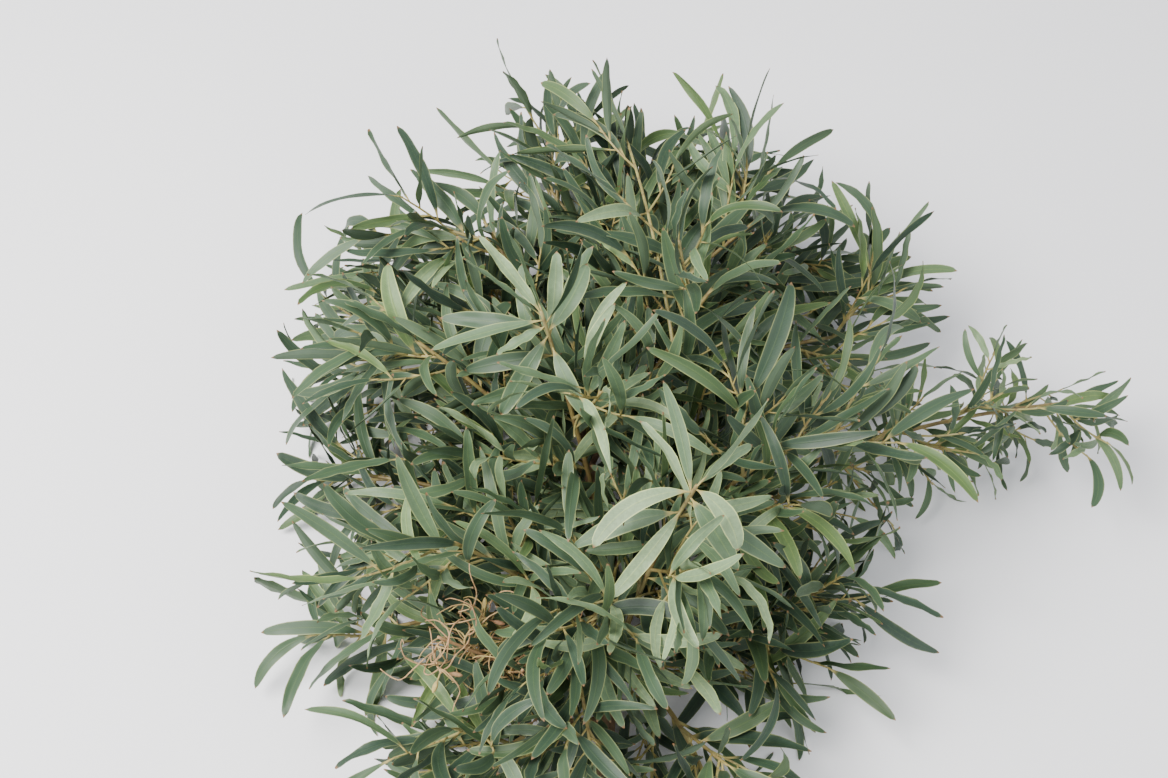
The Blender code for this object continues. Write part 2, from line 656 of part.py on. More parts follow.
def clean(mesh):
    """Heals slivers, and removes the skins of hollows that were sealed inside and any loose scrap."""
    bm = bmesh.new()
    bm.from_mesh(mesh)
    bmesh.ops.triangulate(bm, faces=bm.faces)
    heal_slivers(bm)
    left, bodies = set(bm.verts), []
    while left:
        body, edge = set(), [left.pop()]
        while edge:
            vert = edge.pop()
            body.add(vert)
            near = {e.other_vert(vert) for e in vert.link_edges} & left
            left -= near
            edge += near
        bodies.append(body)
    bodies.sort(key=len)
    bmesh.ops.delete(bm, geom=[v for body in bodies[:-1] for v in body], context="VERTS")
    bm.to_mesh(mesh)
    bm.free()


def fused(name, base, pieces, collection, finish):
    """One body of a base and the pieces that grow from it."""
    modifier = base.modifiers.new("grown together", "BOOLEAN")
    modifier.operation = "UNION"
    modifier.solver = "MANIFOLD"
    modifier.operand_type = "COLLECTION"
    modifier.collection = pieces
    bpy.context.view_layer.update()
    mesh = bpy.data.meshes.new_from_object(base.evaluated_get(bpy.context.evaluated_depsgraph_get()))
    bpy.data.objects.remove(base)
    for piece in list(pieces.objects):
        bpy.data.objects.remove(piece)
    clean(mesh)
    obj = mesh_object(name, mesh, collection)
    mesh.materials.clear()
    mesh.materials.append(finish)
    mesh.shade_smooth()
    mesh.set_sharp_from_angle(angle=SHARP_EDGE)
    return obj


def build_stem(branch, collection, pieces, finish):
    base = wood_object("stem", branch.stem.points, branch.stem.radii, collection, sides=8, tilt=FACET_TURN)
    for shoot in branch.shoots + [branch.tuft]:
        if shoot.name == "leader":
            continue
        radii = [shoot.axis.radii[0] * share for share in STUB_SHARES]
        wood_object(f"{shoot.name}_stub", [shoot.root, shoot.stub_end], radii, pieces)
    return fused("main_stem", base, pieces, collection, finish)


def build_shoot(shoot, collection, pieces, finish):
    base = wood_object(shoot.name, shoot.axis.points, shoot.axis.radii, collection)
    for twig in shoot.twigs:
        wood_object(twig.name, twig.points, twig.radii, pieces, sides=4)
    for leaf in shoot.leaves:
        blade_object(leaf.key, leaf.stations, pieces)
    return fused(shoot.name, base, pieces, collection, finish)


def build_tuft(tuft, collection, pieces, finish):
    base = wood_object(tuft.name, tuft.axis.points, tuft.axis.radii, collection)
    for stalk in tuft.stalks:
        wood_object(stalk.name, stalk.points, stalk.radii, pieces, sides=4)
    for number, (root, heading) in enumerate(tuft.buds):
        bud_object(f"bud_{number}", root, heading, pieces)
    return fused(tuft.name, base, pieces, collection, finish)


def centre_on_origin(parts):
    """Moves the meshes so that the middle of the base of their common box is the origin."""
    corners = [v.co for part in parts for v in part.data.vertices]
    low = [min(c[i] for c in corners) for i in range(3)]
    high = [max(c[i] for c in corners) for i in range(3)]
    shift = Vector((-(low[0] + high[0]) / 2.0, -(low[1] + high[1]) / 2.0, -low[2]))
    for part in parts:
        part.data.transform(Matrix.Translation(shift))


def main():
    for obj in list(bpy.data.objects):
        bpy.data.objects.remove(obj)
    collection = bpy.data.collections.new(NAME)
    pieces = bpy.data.collections.new(f"{NAME}_pieces")
    bpy.context.scene.collection.children.link(collection)
    bpy.context.scene.collection.children.link(pieces)
    pieces.hide_render = True
    bark, foliage, dried = material("bark", BARK), material("foliage", FOLIAGE), material("dried_stalks", DRIED)
    branch = grow_branch()
    parts = [build_stem(branch, collection, pieces, bark)]
    parts += [build_shoot(shoot, collection, pieces, foliage) for shoot in branch.shoots]
    parts.append(build_tuft(branch.tuft, collection, pieces, dried))
    centre_on_origin(parts)
    return branch, parts


if __name__ == "__main__":
    main()
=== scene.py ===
"""A cut eucalyptus branch lying on a pale surface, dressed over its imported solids.

The leaves and stems are placed by the same seeded rules as the solids and made finer, and more of both fill the
branch out.
"""

import itertools
import math
import random
from types import SimpleNamespace

import bmesh
import bpy
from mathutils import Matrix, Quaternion, Vector
from mathutils.bvhtree import BVHTree


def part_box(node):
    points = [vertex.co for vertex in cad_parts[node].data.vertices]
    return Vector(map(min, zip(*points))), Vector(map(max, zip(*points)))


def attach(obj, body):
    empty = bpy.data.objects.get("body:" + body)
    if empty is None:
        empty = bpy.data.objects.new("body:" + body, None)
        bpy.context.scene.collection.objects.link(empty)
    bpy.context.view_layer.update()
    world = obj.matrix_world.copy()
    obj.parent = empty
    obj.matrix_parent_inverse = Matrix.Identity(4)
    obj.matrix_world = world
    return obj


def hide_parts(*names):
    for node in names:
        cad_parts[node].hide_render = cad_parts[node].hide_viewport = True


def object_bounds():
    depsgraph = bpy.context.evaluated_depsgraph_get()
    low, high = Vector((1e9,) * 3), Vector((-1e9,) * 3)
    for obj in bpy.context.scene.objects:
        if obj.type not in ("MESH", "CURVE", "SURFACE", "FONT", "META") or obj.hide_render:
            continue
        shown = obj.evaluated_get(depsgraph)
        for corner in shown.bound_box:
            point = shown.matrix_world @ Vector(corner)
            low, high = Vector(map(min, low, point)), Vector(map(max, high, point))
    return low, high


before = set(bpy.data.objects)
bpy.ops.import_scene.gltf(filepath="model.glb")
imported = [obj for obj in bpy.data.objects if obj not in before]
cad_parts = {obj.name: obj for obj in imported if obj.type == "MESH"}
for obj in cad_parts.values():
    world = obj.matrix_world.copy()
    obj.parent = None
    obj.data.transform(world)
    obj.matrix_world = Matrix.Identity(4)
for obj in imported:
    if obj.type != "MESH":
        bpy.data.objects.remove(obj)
cad_low, cad_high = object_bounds()

SEED = "eucalyptus-7"
UP = Vector((0.0, 0.0, 1.0))
RIGHT = Vector((1.0, 0.0, 0.0))
GOLDEN_TURN = math.radians(137.5)
NEARLY_ALONG = 0.95

# The woody stem. Its heel lies on the surface, and the rest rises into the head.
STEM_LENGTH = 0.40
STEM_RADIUS, STEM_TIP_RADIUS = 0.0066, 0.0026
STEM_RISE, STEM_RISE_SPAN = 0.055, 0.62
STEM_SWAY, STEM_SWAY_SPAN, STEM_SWAY_RATE = 0.014, 0.3, 7.0
STEM_STEPS = 14
STEM_LOOK_BACK = 0.02
HEEL_SHARE = 0.15
FACET_TURN = math.pi / 8.0

# The stubs that carry the shoots, and the straight foot of each shoot
STUB_REACH = 0.004
LEAST_SQUARE = 0.5
SEAT_GAP = 0.0003
STRAIGHT_FOOT = 0.006

# The leafy side shoots: where each leaves the stem and where it ends, which together fill a low dome
SHOOT_ENDS = {
    "front_spray": (0.19, (0.052, 0.124, 0.205)),
    "second_spray": (0.42, (-0.0415, 0.250, 0.205)),
    "reaching_shoot": (0.37, (0.342, 0.270, 0.070)),
    "shoot_01": (0.14, (-0.090, 0.000, 0.040)),
    "shoot_02": (0.235, (0.065, 0.000, 0.036)),
    "shoot_03": (0.265, (-0.145, 0.105, 0.046)),
    "shoot_04": (0.28, (0.122, 0.115, 0.040)),
    "shoot_05": (0.385, (-0.165, 0.220, 0.050)),
    "shoot_06": (0.54, (-0.172, 0.335, 0.050)),
    "shoot_07": (0.58, (0.192, 0.345, 0.046)),
    "shoot_08": (0.73, (-0.129, 0.411, 0.048)),
    "shoot_09": (0.78, (0.145, 0.425, 0.045)),
    "shoot_10": (0.90, (-0.040, 0.458, 0.075)),
    "shoot_11": (0.215, (-0.095, 0.120, 0.140)),
    "shoot_12": (0.325, (0.125, 0.190, 0.150)),
    "shoot_13": (0.475, (-0.125, 0.265, 0.150)),
    "shoot_14": (0.50, (0.070, 0.290, 0.175)),
    "shoot_15": (0.62, (-0.085, 0.375, 0.140)),
    "shoot_16": (0.67, (0.110, 0.385, 0.130)),
    "shoot_17": (0.35, (-0.020, 0.035, 0.105)),
}
SHOOT_RADIUS, SHOOT_TIP_RADIUS = 0.0022, 0.0012
SHOOT_STEPS, SHOOT_WILD = 6, 0.004
SHOOT_AHEAD, SHOOT_LIFT = 0.35, 0.15
LEADER_LENGTH, LEADER_PULL = 0.075, 0.3
BEND_SHARE = 0.45

# The sprays that lie open on top, spread in a plane that tilts to -Y. Each leaf has its place along the stem, its
# turn in that plane from +X and its roll, both in degrees, its lift out of the plane, its length and width in
# millimetres, and how far it bends within its blade and out of it.
SPREAD_TILT = math.radians(60.0)
SPREAD_UP = Vector((0.0, math.sin(SPREAD_TILT), math.cos(SPREAD_TILT)))
SPREAD_OUT = Vector((0.0, -math.cos(SPREAD_TILT), math.sin(SPREAD_TILT)))
SPREAD_LEAVES = {
    "front_spray": (
        (0.97, 172, 10, 0.10, 72, 11.5, 1.15, 0.5),
        (0.88, 186, 15, -0.15, 72, 12.5, 0.35, 0.3),
        (0.985, -25, -10, 0.15, 46, 13.0, -0.9, 0.5),
        (0.95, -52, 10, 0.05, 54, 13.0, -0.2, 0.4),
        (0.93, -36, 0, 0.0, 74, 12.0, 0.1, 0.35),
        (0.96, 96, 0, 0.0, 70, 8.5, 0.25, 0.1),
        (0.99, 52, 25, 0.15, 44, 8.0, -0.7, 0.3),
        (1.0, 46, 50, 0.1, 66, 7.5, 0.15, 0.1),
        (0.80, 104, 70, 0.1, 55, 8.0, 0.4, 0.2),
        (0.90, 236, 0, -0.1, 72, 10.5, -0.15, 0.2),
        (0.74, 192, 35, 0.05, 50, 9.5, -0.4, 0.3),
        (0.82, 228, 70, 0.1, 48, 8.0, 0.0, 0.1),
        (0.86, 8, 0, -0.2, 64, 9.0, 0.1, 0.2),
    ),
    "second_spray": (
        (0.97, 190, 30, 0.1, 74, 8.5, 0.15, 0.1),
        (0.95, 212, 25, 0.15, 36, 7.5, -0.1, 0.1),
        (0.93, 50, 0, -0.1, 52, 12.5, 0.35, 0.1),
        (0.96, 52, 60, 0.15, 60, 7.5, 0.65, 0.1),
        (0.80, 34, 40, 0.1, 58, 7.5, 0.25, 0.1),
        (0.76, 18, 30, 0.1, 30, 6.0, 0.2, 0.1),
        (0.88, -68, 5, 0.1, 52, 11.0, 0.1, 0.2),
        (0.92, 236, 0, 0.0, 60, 12.5, 0.1, 0.3),
        (0.99, 128, 20, 0.1, 64, 8.5, 0.0, 0.1),
        (1.0, 112, 70, 0.2, 56, 7.5, 0.1, 0.0),
        (0.98, 146, 60, 0.2, 62, 7.5, -0.1, 0.0),
        (0.94, 170, 0, -0.05, 70, 11.5, 0.1, 0.2),
        (0.85, 184, 0, -0.15, 62, 11.5, 0.15, 0.2),
        (0.91, 82, 10, 0.0, 56, 10.0, 0.1, 0.1),
    ),
}
SPREAD_TRIES, SPREAD_TURN, SPREAD_LIFT, SPREAD_TWIST = 40, 0.02, 0.015, 0.25
OPEN_ABOVE, OPEN_FROM, OPEN_RADII = 0.11, 0.014, (0.008, 0.016, 0.024, 0.032, 0.040)
SPREAD_FROM = 0.62

# How large the twigs and leaves of a shoot are, where they are not whole
SLENDER = {"reaching_shoot": 0.62}

# The twigs on each shoot. Of a kind of side stem: its radii, how far the first try may turn from its own place
# round the stem that carries it, how much further each next try may, and the number of tries
TWIG_SPACING, FEWEST_TWIGS = 0.045, 4
TWIG_FIRST, TWIG_LAST = 0.22, 0.92
TWIG_LENGTH, TWIG_LENGTH_FILL = 0.075, (0.75, 1.15)
FIRST_TWIG_SCALE, LAST_TWIG_SCALE, CRAMPED_TWIG_SCALE = 1.1, 0.6, 0.6
TWIG_ANGLE = (0.65, 1.0)
TWIG = SimpleNamespace(radii=(0.00125, 0.00105), wild=0.25, wilder=0.06, tries=40)
TWIG_STEPS = 3
TWIG_PULL, TWIG_LIFT, TWIG_STRAY = 0.6, 0.25, 0.4

# The leaves
LEAF_LENGTH, LEAF_LENGTH_SPREAD = 0.070, 0.015
LEAF_WIDTH, LEAF_WIDTH_SPREAD = 0.0106, 0.0022
PETIOLE_SHARE, PETIOLE_WIDTH = 0.09, 0.0013
BLADE_THICKNESS = 0.0012
BASE_POWER, TIP_POWER = 0.62, (0.50, 0.80)
LEAF_STEPS = 16
BLADE_STATIONS = (0, 3, 8, 13, 16)
LEAF_ANGLE, END_LEAF_ANGLE = (0.6, 1.1), (0.05, 0.35)
LEAF_LIFT, LEAF_STRAY = (-0.15, 0.25), (0.3, 1.0)
LEAF_SICKLE, LEAF_ARCH, LEAF_TWIST = (0.1, 0.9), (-0.25, 1.1), (-0.7, 0.7)
LEAF_FACES_UP, LEAF_FACES_IN, LEAST_FACING = 0.9, 0.2, 0.2
LEAF_WILD, LEAF_WILDER = 0.3, 0.05
LEAF_SCALES = (1.0, 0.75)
FIRST_LEAF_TURN = 0.7
END_SHARE = 0.97
AXIS_LEAVES = (END_SHARE, 0.88, 0.74, 0.58, 0.42)
TWIG_LEAVES = (END_SHARE, 0.72, 0.42)

# The dried flower stalks
TUFT_SHARE, TUFT_END = 0.17, Vector((-0.105, 0.070, 0.110))
TUFT_STEPS = 5
TUFT_RADIUS, TUFT_TIP_RADIUS = 0.0014, 0.0010
STALKS, FIRST_STALK = 7, 0.40
STALK_LENGTH, STALK_LENGTH_FILL, STALK_RADIUS = 0.026, (0.7, 1.3), 0.0007
STALK_AHEAD, STALK_WILD = (0.2, 0.9), 0.5
STALK_CURL, STALK_STEPS = 2.6, 4
BUDS_EACH, BUD_SHARE, BUD_AHEAD, BUD_WILD = 2, 0.96, 0.8, 0.3
BUD_LENGTH, BUD_RADIUS = 0.0075, 0.0016
PEDICEL_LENGTH = 0.006

# Room kept between what doesn't touch, and how often each piece tries for it
LEAF_CLEARANCE = 0.0006
WOOD_CLEARANCE = 0.0008
FLOOR_CLEARANCE = 0.010
CELL = 0.03
LEAF_TRIES = 60
WOOD_TRIES = 40

# More of both, which only this scene shows
MORE_AXIS_LEAVES = (0.93, 0.81, 0.66, 0.50, 0.34, 0.24)
MORE_TWIG_LEAVES = (0.90, 0.80, 0.58, 0.30)
NEW_TWIG_LEAVES = (END_SHARE, 0.87, 0.76, 0.64, 0.50, 0.36, 0.22)
TWIGLET_LEAVES = (END_SHARE, 0.80, 0.62, 0.42, 0.24)
TWIGLETS = (0.20, 0.42, 0.64, 0.86)
TWIGLET_LENGTH = (0.028, 0.055)
TWIGLET = SimpleNamespace(radii=(0.0009, 0.0006), wild=0.4, wilder=0.06, tries=60)
MORE_TURN = 2.0
RIBBON_SHARE = 0.62
MORE_LEAF_WIDTH, MORE_LEAF_SICKLE, MORE_FACES_UP = 0.78, 1.25, 0.50
SMALL_LEAF_SCALES = (0.92, 0.78, 0.62)
BOX_MARGIN = 0.004

# What stays in sight of the camera: the dried stalks, bare lengths of stems, and a long twig over the back
ELEVATION = math.radians(57.0)
SEEN_FROM = Vector((0.0, -math.cos(ELEVATION), math.sin(ELEVATION)))
SEEN_UP = Vector((0.0, math.sin(ELEVATION), math.cos(ELEVATION)))
TUFT_AIR = 0.036
BARE = {"front_spray": (0.45, 0.97), "second_spray": (0.40, 0.97), "long_twig": (0.25, 0.95)}
BARE_SPOTS, BARE_AIR = 12, 0.0055
LONG_TWIG_FROM, LONG_TWIG_SHARE, LONG_TWIG_RADIUS = "shoot_14", 0.78, 0.0015
LONG_TWIG_END = Vector((0.017, 0.440, 0.150))
LONG_TWIG_WILD, LONG_TWIG_RISE, LONG_TWIG_STEPS = 0.002, 0.5, 8

# The fine dried stalks: how many, how long and thin, and how they wind
CURLS, CURL_LENGTH, CURL_LIFT, FIRST_CURL = 110, (0.022, 0.052), 0.60, 0.2
CURL_RADIUS, CURL_TIP_RADIUS = 0.00055, 0.00032
CURL_STEPS, CURL_TURN, CURL_STRAY = 9, (0.15, 0.75), 0.45

# The fine leaves: their stations along, closer at both ends; the points of a ring across, each with 1 over the
# blade, -1 under it and 0 at its edge; their thickness in metres, fold and waves; and where stalk and blade end
FINE_STATIONS, CLOSE_AT_ENDS = 15, 0.35
RING = ((-1.0, 0.0), (-0.5, 1.0), (0.0, 1.0), (0.5, 1.0), (1.0, 0.0), (0.5, -1.0), (0.0, -1.0), (-0.5, -1.0))
STALK_THICK, BLADE_THICK, TIP_THIN, EDGE_THIN = 0.00045, 0.00038, 0.45, 0.75
FOLD, FLAT_FOLD = (0.10, 0.38), 0.25
WAVE_HEIGHT, WAVE_COUNT, WAVE_SKEW, WAVE_POWER = (0.0002, 0.0010), (1.5, 4.0), 0.3, 1.5
STALK_FROM, STALK_END, STALK_ROUND, LEAST_HALF = PETIOLE_SHARE * 0.6, 0.13, 0.9, 0.00025
LEVEL, LOW = 0.999, BLADE_THICKNESS * 1.5
BLUNT_FROM, BLUNTNESS = 0.88, 0.55
FINE_HEIGHT, LEAF_FLOOR, TIP_FLOOR, TIP_POINT = 0.45, 0.0002, 0.0003, 0.0004

# How finely wood is dressed. For a kind of stem that comes often: points to a step, sides, range of tones and
# roughness of its skin. For the main stem, the stubs and the tuft's own stem: sides, tone and roughness.
SKINS = {
    "axis": (5, 10, (0.1, 0.5), 0.05),
    "twig": (5, 7, (0.4, 0.9), 0.05),
    "twiglet": (3, 6, (0.6, 1.0), 0.04),
    "stalk": (6, 6, (0.3, 0.8), 0.14),
}
STEM_SKIN, STUB_SKIN, TUFT_SKIN = (24, 0.5, 0.035), (12, 0.5, 0.04), (8, 0.35, 0.10)
STEM_PER_STEP, TUFT_PER_STEP = 8, 6

# The rounded ends of the wood in radii, the collars round the stubs, each stub's radii along its reach, the cut
# face with its rings, and each bud's radii along it
START_CAP, END_CAP = 0.2, 0.6
COLLAR, COLLAR_SPAN = 0.10, 0.012
STUB_PROFILE = ((0.0, 2.2), (0.35, 1.95), (0.6, 1.6), (0.8, 1.35), (1.0, 1.2))
CUT_AROUND, CUT_RINGS, CUT_DEPTH = 24, (0.12, 0.35, 0.6, 0.82, 0.93), 1.05
BUD_PROFILE = (
    (0.0, 0.0005), (0.003, 0.0005), (0.006, 0.0006), (0.0072, 0.0012), (0.0094, 0.0016), (0.0118, 0.0014),
    (0.0135, 0.0006),
)
BUD_AROUND, BUD_TONES, BUD_ROUGH = 8, (0.1, 0.9), 0.12
LEAF_SHARP, WOOD_SHARP, CUT_SHARP = math.radians(75.0), math.radians(60.0), math.radians(40.0)

# Tones from dark to pale, where the open sprays on top take pale tones as a painted highlight for the light they
# catch, and which leaves are fresh
SHOOT_TONES = (0.25, 0.62)
PAINTED_LIT_SPRAY_TONES, TONE_SPREAD = {"front_spray": 0.80, "second_spray": 0.74}, 0.17
FRESH_FROM, FRESH_LEFT, FRESH_RIGHT, FRESHNESS = 0.05, 0.16, 0.36, (0.15, 1.0)

# The room's light, each lamp as (place, target, size, power, colour). The camera: its lens and sensor in
# millimetres, the picture's size and the head's middle in it in pixels, and the metres to a pixel there.
ROOM_COLOR, ROOM_STRENGTH = (0.93, 0.95, 1.0, 1.0), 0.80
LAMPS = {
    "key": ((-1.1, -0.3, 1.7), (0.0, 0.0, 0.08), 1.3, 95.0, (1.0, 0.985, 0.96)),
    "fill": ((1.3, -1.0, 1.2), (0.0, 0.0, 0.05), 1.6, 14.0, (0.96, 0.98, 1.0)),
}
LENS, SENSOR, NEAR, FAR = 50.0, 36.0, 0.02, 30.0
PHOTO, HEAD_PIXEL, PIXEL = (1168.0, 778.0), (605.0, 425.0), 0.00069
HEAD_MIDDLE = Vector((0.0, 0.240, 0.085))
FLOOR_SIZE, FLOOR_DROP = 6.0, 0.0006


def mixed(a, b, share):
    return a + (b - a) * share


def eased(share):
    share = min(max(share, 0.0), 1.0)
    return share * share * (3.0 - 2.0 * share)


def tapered(first, last, count):
    return [mixed(first, last, k / (count - 1)) for k in range(count)]


def square_to(direction, turn):
    """A unit vector square to direction, turned round it from the side nearest to +X, upwards if that is +Y."""
    reference = RIGHT if abs(direction.dot(RIGHT)) < NEARLY_ALONG else UP
    across = (reference - direction * reference.dot(direction)).normalized()
    return Quaternion(direction, -turn) @ across


def scatter(rng):
    """A random unit vector."""
    while True:
        v = Vector([rng.uniform(-1.0, 1.0) for _ in range(3)])
        if 0.1 < v.length < 1.0:
            return v.normalized()


class Space:
    """The pieces placed so far, sorted into cells, to keep the next one clear of them."""

    def __init__(self):
        self.cells = {}

    def cells_of(self, points):
        spans = []
        for i in range(3):
            values = [p[i] for p in points]
            spans.append(range(int(min(values) // CELL), int(max(values) // CELL) + 1))
        return itertools.product(*spans)

    def add(self, points, faces, owner):
        piece = (BVHTree.FromPolygons(points, faces), owner)
        for cell in self.cells_of(points):
            self.cells.setdefault(cell, []).append(piece)

    def clear(self, points, faces, but=()):
        tree, seen = BVHTree.FromPolygons(points, faces), set()
        for cell in self.cells_of(points):
            for other, owner in self.cells.get(cell, ()):
                if owner in but or id(other) in seen:
                    continue
                seen.add(id(other))
                if tree.overlap(other):
                    return False
        return True


def ring_faces(rings, around):
    """Faces of a tube of rings with this many points around, closed by a flat face at each end."""
    faces = []
    for k, j in itertools.product(range(rings - 1), range(around)):
        a, b = k * around + j, k * around + (j + 1) % around
        faces += [(a, b, b + around), (a, b + around, a + around)]
    last = (rings - 1) * around
    faces += [(0, j + 1, j) for j in range(1, around - 1)]
    faces += [(last, last + j, last + j + 1) for j in range(1, around - 1)]
    return faces


def square_tube(points, radii):
    """A four-sided tube, which stands for a stem while other pieces are placed."""
    placed = []
    for k, (p, r) in enumerate(zip(points, radii)):
        along = (points[min(k + 1, len(points) - 1)] - points[max(k - 1, 0)]).normalized()
        side = square_to(along, 0.0)
        other = along.cross(side)
        placed += [p + side * r, p + other * r, p - side * r, p - other * r]
    return placed, ring_faces(len(points), 4)


def grow(start, heading, length, goal, pull, steps):
    """Points along a stem that sets out along heading, turns towards goal and stays off the surface."""
    heading = heading.normalized()
    points = [start.copy()]
    step = length / steps
    for k in range(steps):
        if k:
            heading = (heading + goal * (pull / steps)).normalized()
        drop = FLOOR_CLEARANCE - points[-1].z
        if heading.z * step < drop:
            heading.z = drop / step
            heading.normalize()
        points.append(points[-1] + heading * step)
    return points


def grow_to(start, heading, end, steps):
    """Points along a stem that sets out straight along heading and bends round to end there."""
    foot = start + heading * STRAIGHT_FOOT
    bend = foot + heading * (end - foot).length * BEND_SHARE
    shares = [k / (steps - 1) for k in range(steps)]
    return [start] + [foot.lerp(bend, t).lerp(bend.lerp(end, t), t) for t in shares]


def path_length(points):
    return sum((b - a).length for a, b in zip(points, points[1:]))


def along_path(points, share):
    """The place and the direction at this share of a path."""
    at = share * (len(points) - 1)
    k = min(int(at), len(points) - 2)
    return points[k].lerp(points[k + 1], at - k), (points[k + 1] - points[k]).normalized()


def stem_point(share):
    lift = STEM_RADIUS * math.cos(FACET_TURN)
    rise = STEM_RISE * eased((share - HEEL_SHARE) / STEM_RISE_SPAN)
    sway = STEM_SWAY * eased((share - HEEL_SHARE) / STEM_SWAY_SPAN) * math.sin(share * STEM_SWAY_RATE)
    return Vector((sway, STEM_LENGTH * share, lift + rise))


def stem_direction(share):
    return (stem_point(share) - stem_point(share - STEM_LOOK_BACK)).normalized()


def leaf_width(share, leaf):
    """The width of a lance-shaped blade on a thin stalk, at this share of its length."""
    s = (share - PETIOLE_SHARE) / (1.0 - PETIOLE_SHARE)
    if s <= 0.0:
        return PETIOLE_WIDTH
    widest = BASE_POWER / (BASE_POWER + leaf.blunt)
    peak = widest**BASE_POWER * (1.0 - widest) ** leaf.blunt
    return max(PETIOLE_WIDTH * (1.0 - s), leaf.width * s**BASE_POWER * (1.0 - s) ** leaf.blunt / peak)


def leaf_line(root, heading, facing, leaf):
    """The leaf's stations from stalk to tip: the place, the width's direction, the normal and the width."""
    along = heading.normalized()
    side = facing.cross(along).normalized()
    normal = along.cross(side)
    place = root.copy()
    stations = []
    for k in range(LEAF_STEPS + 1):
        width = leaf_width(k / LEAF_STEPS, leaf)
        stations.append(SimpleNamespace(place=place.copy(), side=side, normal=normal, width=width))
        turn = Quaternion(normal, leaf.sickle / LEAF_STEPS)
        turn = turn @ Quaternion(side, leaf.arch / LEAF_STEPS)
        turn = turn @ Quaternion(along, leaf.twist / LEAF_STEPS)
        along, side, normal = turn @ along, turn @ side, turn @ normal
        place += along * (leaf.length / LEAF_STEPS)
    return stations


def press_on_floor(stations):
    """Lays a leaf flat on the surface where it would dip under it. Its stalk can't be pressed."""
    for k, s in enumerate(stations):
        ridge = s.place + s.normal * BLADE_THICKNESS
        if min(s.place.z - abs(s.side.z) * s.width / 2.0, ridge.z) >= 0.0:
            continue
        if k < 2:
            return False
        s.side = Vector((s.side.x, s.side.y, 0.0)).normalized()
        s.place.z = 0.0 if s.normal.z > 0.0 else BLADE_THICKNESS
        s.normal = UP if s.normal.z > 0.0 else -UP
    return True


def blade(stations, chosen, room=0.0):
    """A closed blade: at each chosen station a flat underside with a ridge over it, and a point at the tip."""
    points = []
    for k in chosen[:-1]:
        s = stations[k]
        across = s.side * (s.width / 2.0 + room)
        under = s.place - s.normal * room
        points += [under + across, s.place + s.normal * (BLADE_THICKNESS + room), under - across]
    points.append(stations[chosen[-1]].place)
    rings = len(chosen) - 1
    last, tip = (rings - 1) * 3, rings * 3
    faces = ring_faces(rings, 3)[:-1]
    faces += [(last, last + 1, tip), (last + 1, last + 2, tip), (last + 2, last, tip)]
    return points, faces


def place_wood(space, name, parent, tries, clearance=WOOD_CLEARANCE):
    """The first of the tried stems that is clear of everything placed but its parent. Each is (points, radii)."""
    for points, radii in tries:
        room = square_tube(points, [r + clearance for r in radii])
        if space.clear(*room, but=(parent,)):
            space.add(*room, name)
            return SimpleNamespace(name=name, points=points, radii=radii)
    return None


def leaning(rng, ahead, turn, wild, angles):
    """A heading that leans out of ahead near this turn round it, and the outward direction that it leans to."""
    outward = square_to(ahead, turn + rng.uniform(-wild, wild))
    angle = rng.uniform(*angles)
    return ahead * math.cos(angle) + outward * math.sin(angle), outward


def seated(share, heading):
    """Where a side shoot with this heading leaves the stem: the end of its stub there."""
    place, ahead = stem_point(share), stem_direction(share)
    radius = mixed(STEM_RADIUS, STEM_TIP_RADIUS, share)
    across = max(heading.cross(ahead).length, LEAST_SQUARE)
    return place, place + heading * (radius / across + STUB_REACH)


def shoot_axis(space, name, points):
    """The stem of a shoot along these points, where it is clear of all but the main stem."""
    radii = tapered(SHOOT_RADIUS, SHOOT_TIP_RADIUS, len(points))
    return place_wood(space, name, "main_stem", [(points, radii)])


def new_shoot(axis, root, stub_end):
    return SimpleNamespace(name=axis.name, axis=axis, root=root, stub_end=stub_end, twigs=[], leaves=[])


def grow_shoot(space, name):
    """A side shoot, from its place on the stem to its own end or near it."""
    share, end = SHOOT_ENDS[name]
    for attempt in range(WOOD_TRIES):
        rng = random.Random(f"{SEED}-{name}-{attempt}")
        near = Vector(end) + scatter(rng) * SHOOT_WILD * attempt
        near.z = max(near.z, FLOOR_CLEARANCE)
        aim = (near - stem_point(share)).normalized()
        heading = (aim + stem_direction(share) * SHOOT_AHEAD + UP * SHOOT_LIFT).normalized()
        root, stub_end = seated(share, heading)
        axis = shoot_axis(space, name, grow_to(stub_end + heading * SEAT_GAP, heading, near, SHOOT_STEPS))
        if axis:
            return new_shoot(axis, root, stub_end)
    raise RuntimeError(f"{name} finds no room")


def grow_leader(space):
    """The shoot that ends the stem."""
    end, ahead = stem_point(1.0), stem_direction(1.0)
    goal = (RIGHT - UP).normalized()
    points = grow(end + ahead * SEAT_GAP, ahead, LEADER_LENGTH, goal, LEADER_PULL, SHOOT_STEPS)
    return new_shoot(shoot_axis(space, "leader", points), end, end)


def twig_tries(wood, share, turn, key, kind, size, fill, scale=1.0):
    """The side stems of this kind to try at this share of a stem. Their length is size times a draw from fill."""
    root, ahead = along_path(wood.points, share)
    for attempt in range(kind.tries):
        rng = random.Random(f"{SEED}-{key}-{attempt}")
        heading, _ = leaning(rng, ahead, turn, kind.wild + kind.wilder * attempt, TWIG_ANGLE)
        goal = (ahead + UP * TWIG_LIFT + scatter(rng) * TWIG_STRAY).normalized()
        cramped = 1.0 if attempt < kind.tries / 2 else CRAMPED_TWIG_SCALE
        points = grow(root, heading, size * rng.uniform(*fill) * (scale * cramped), goal, TWIG_PULL, TWIG_STEPS)
        yield points, tapered(*kind.radii, len(points))


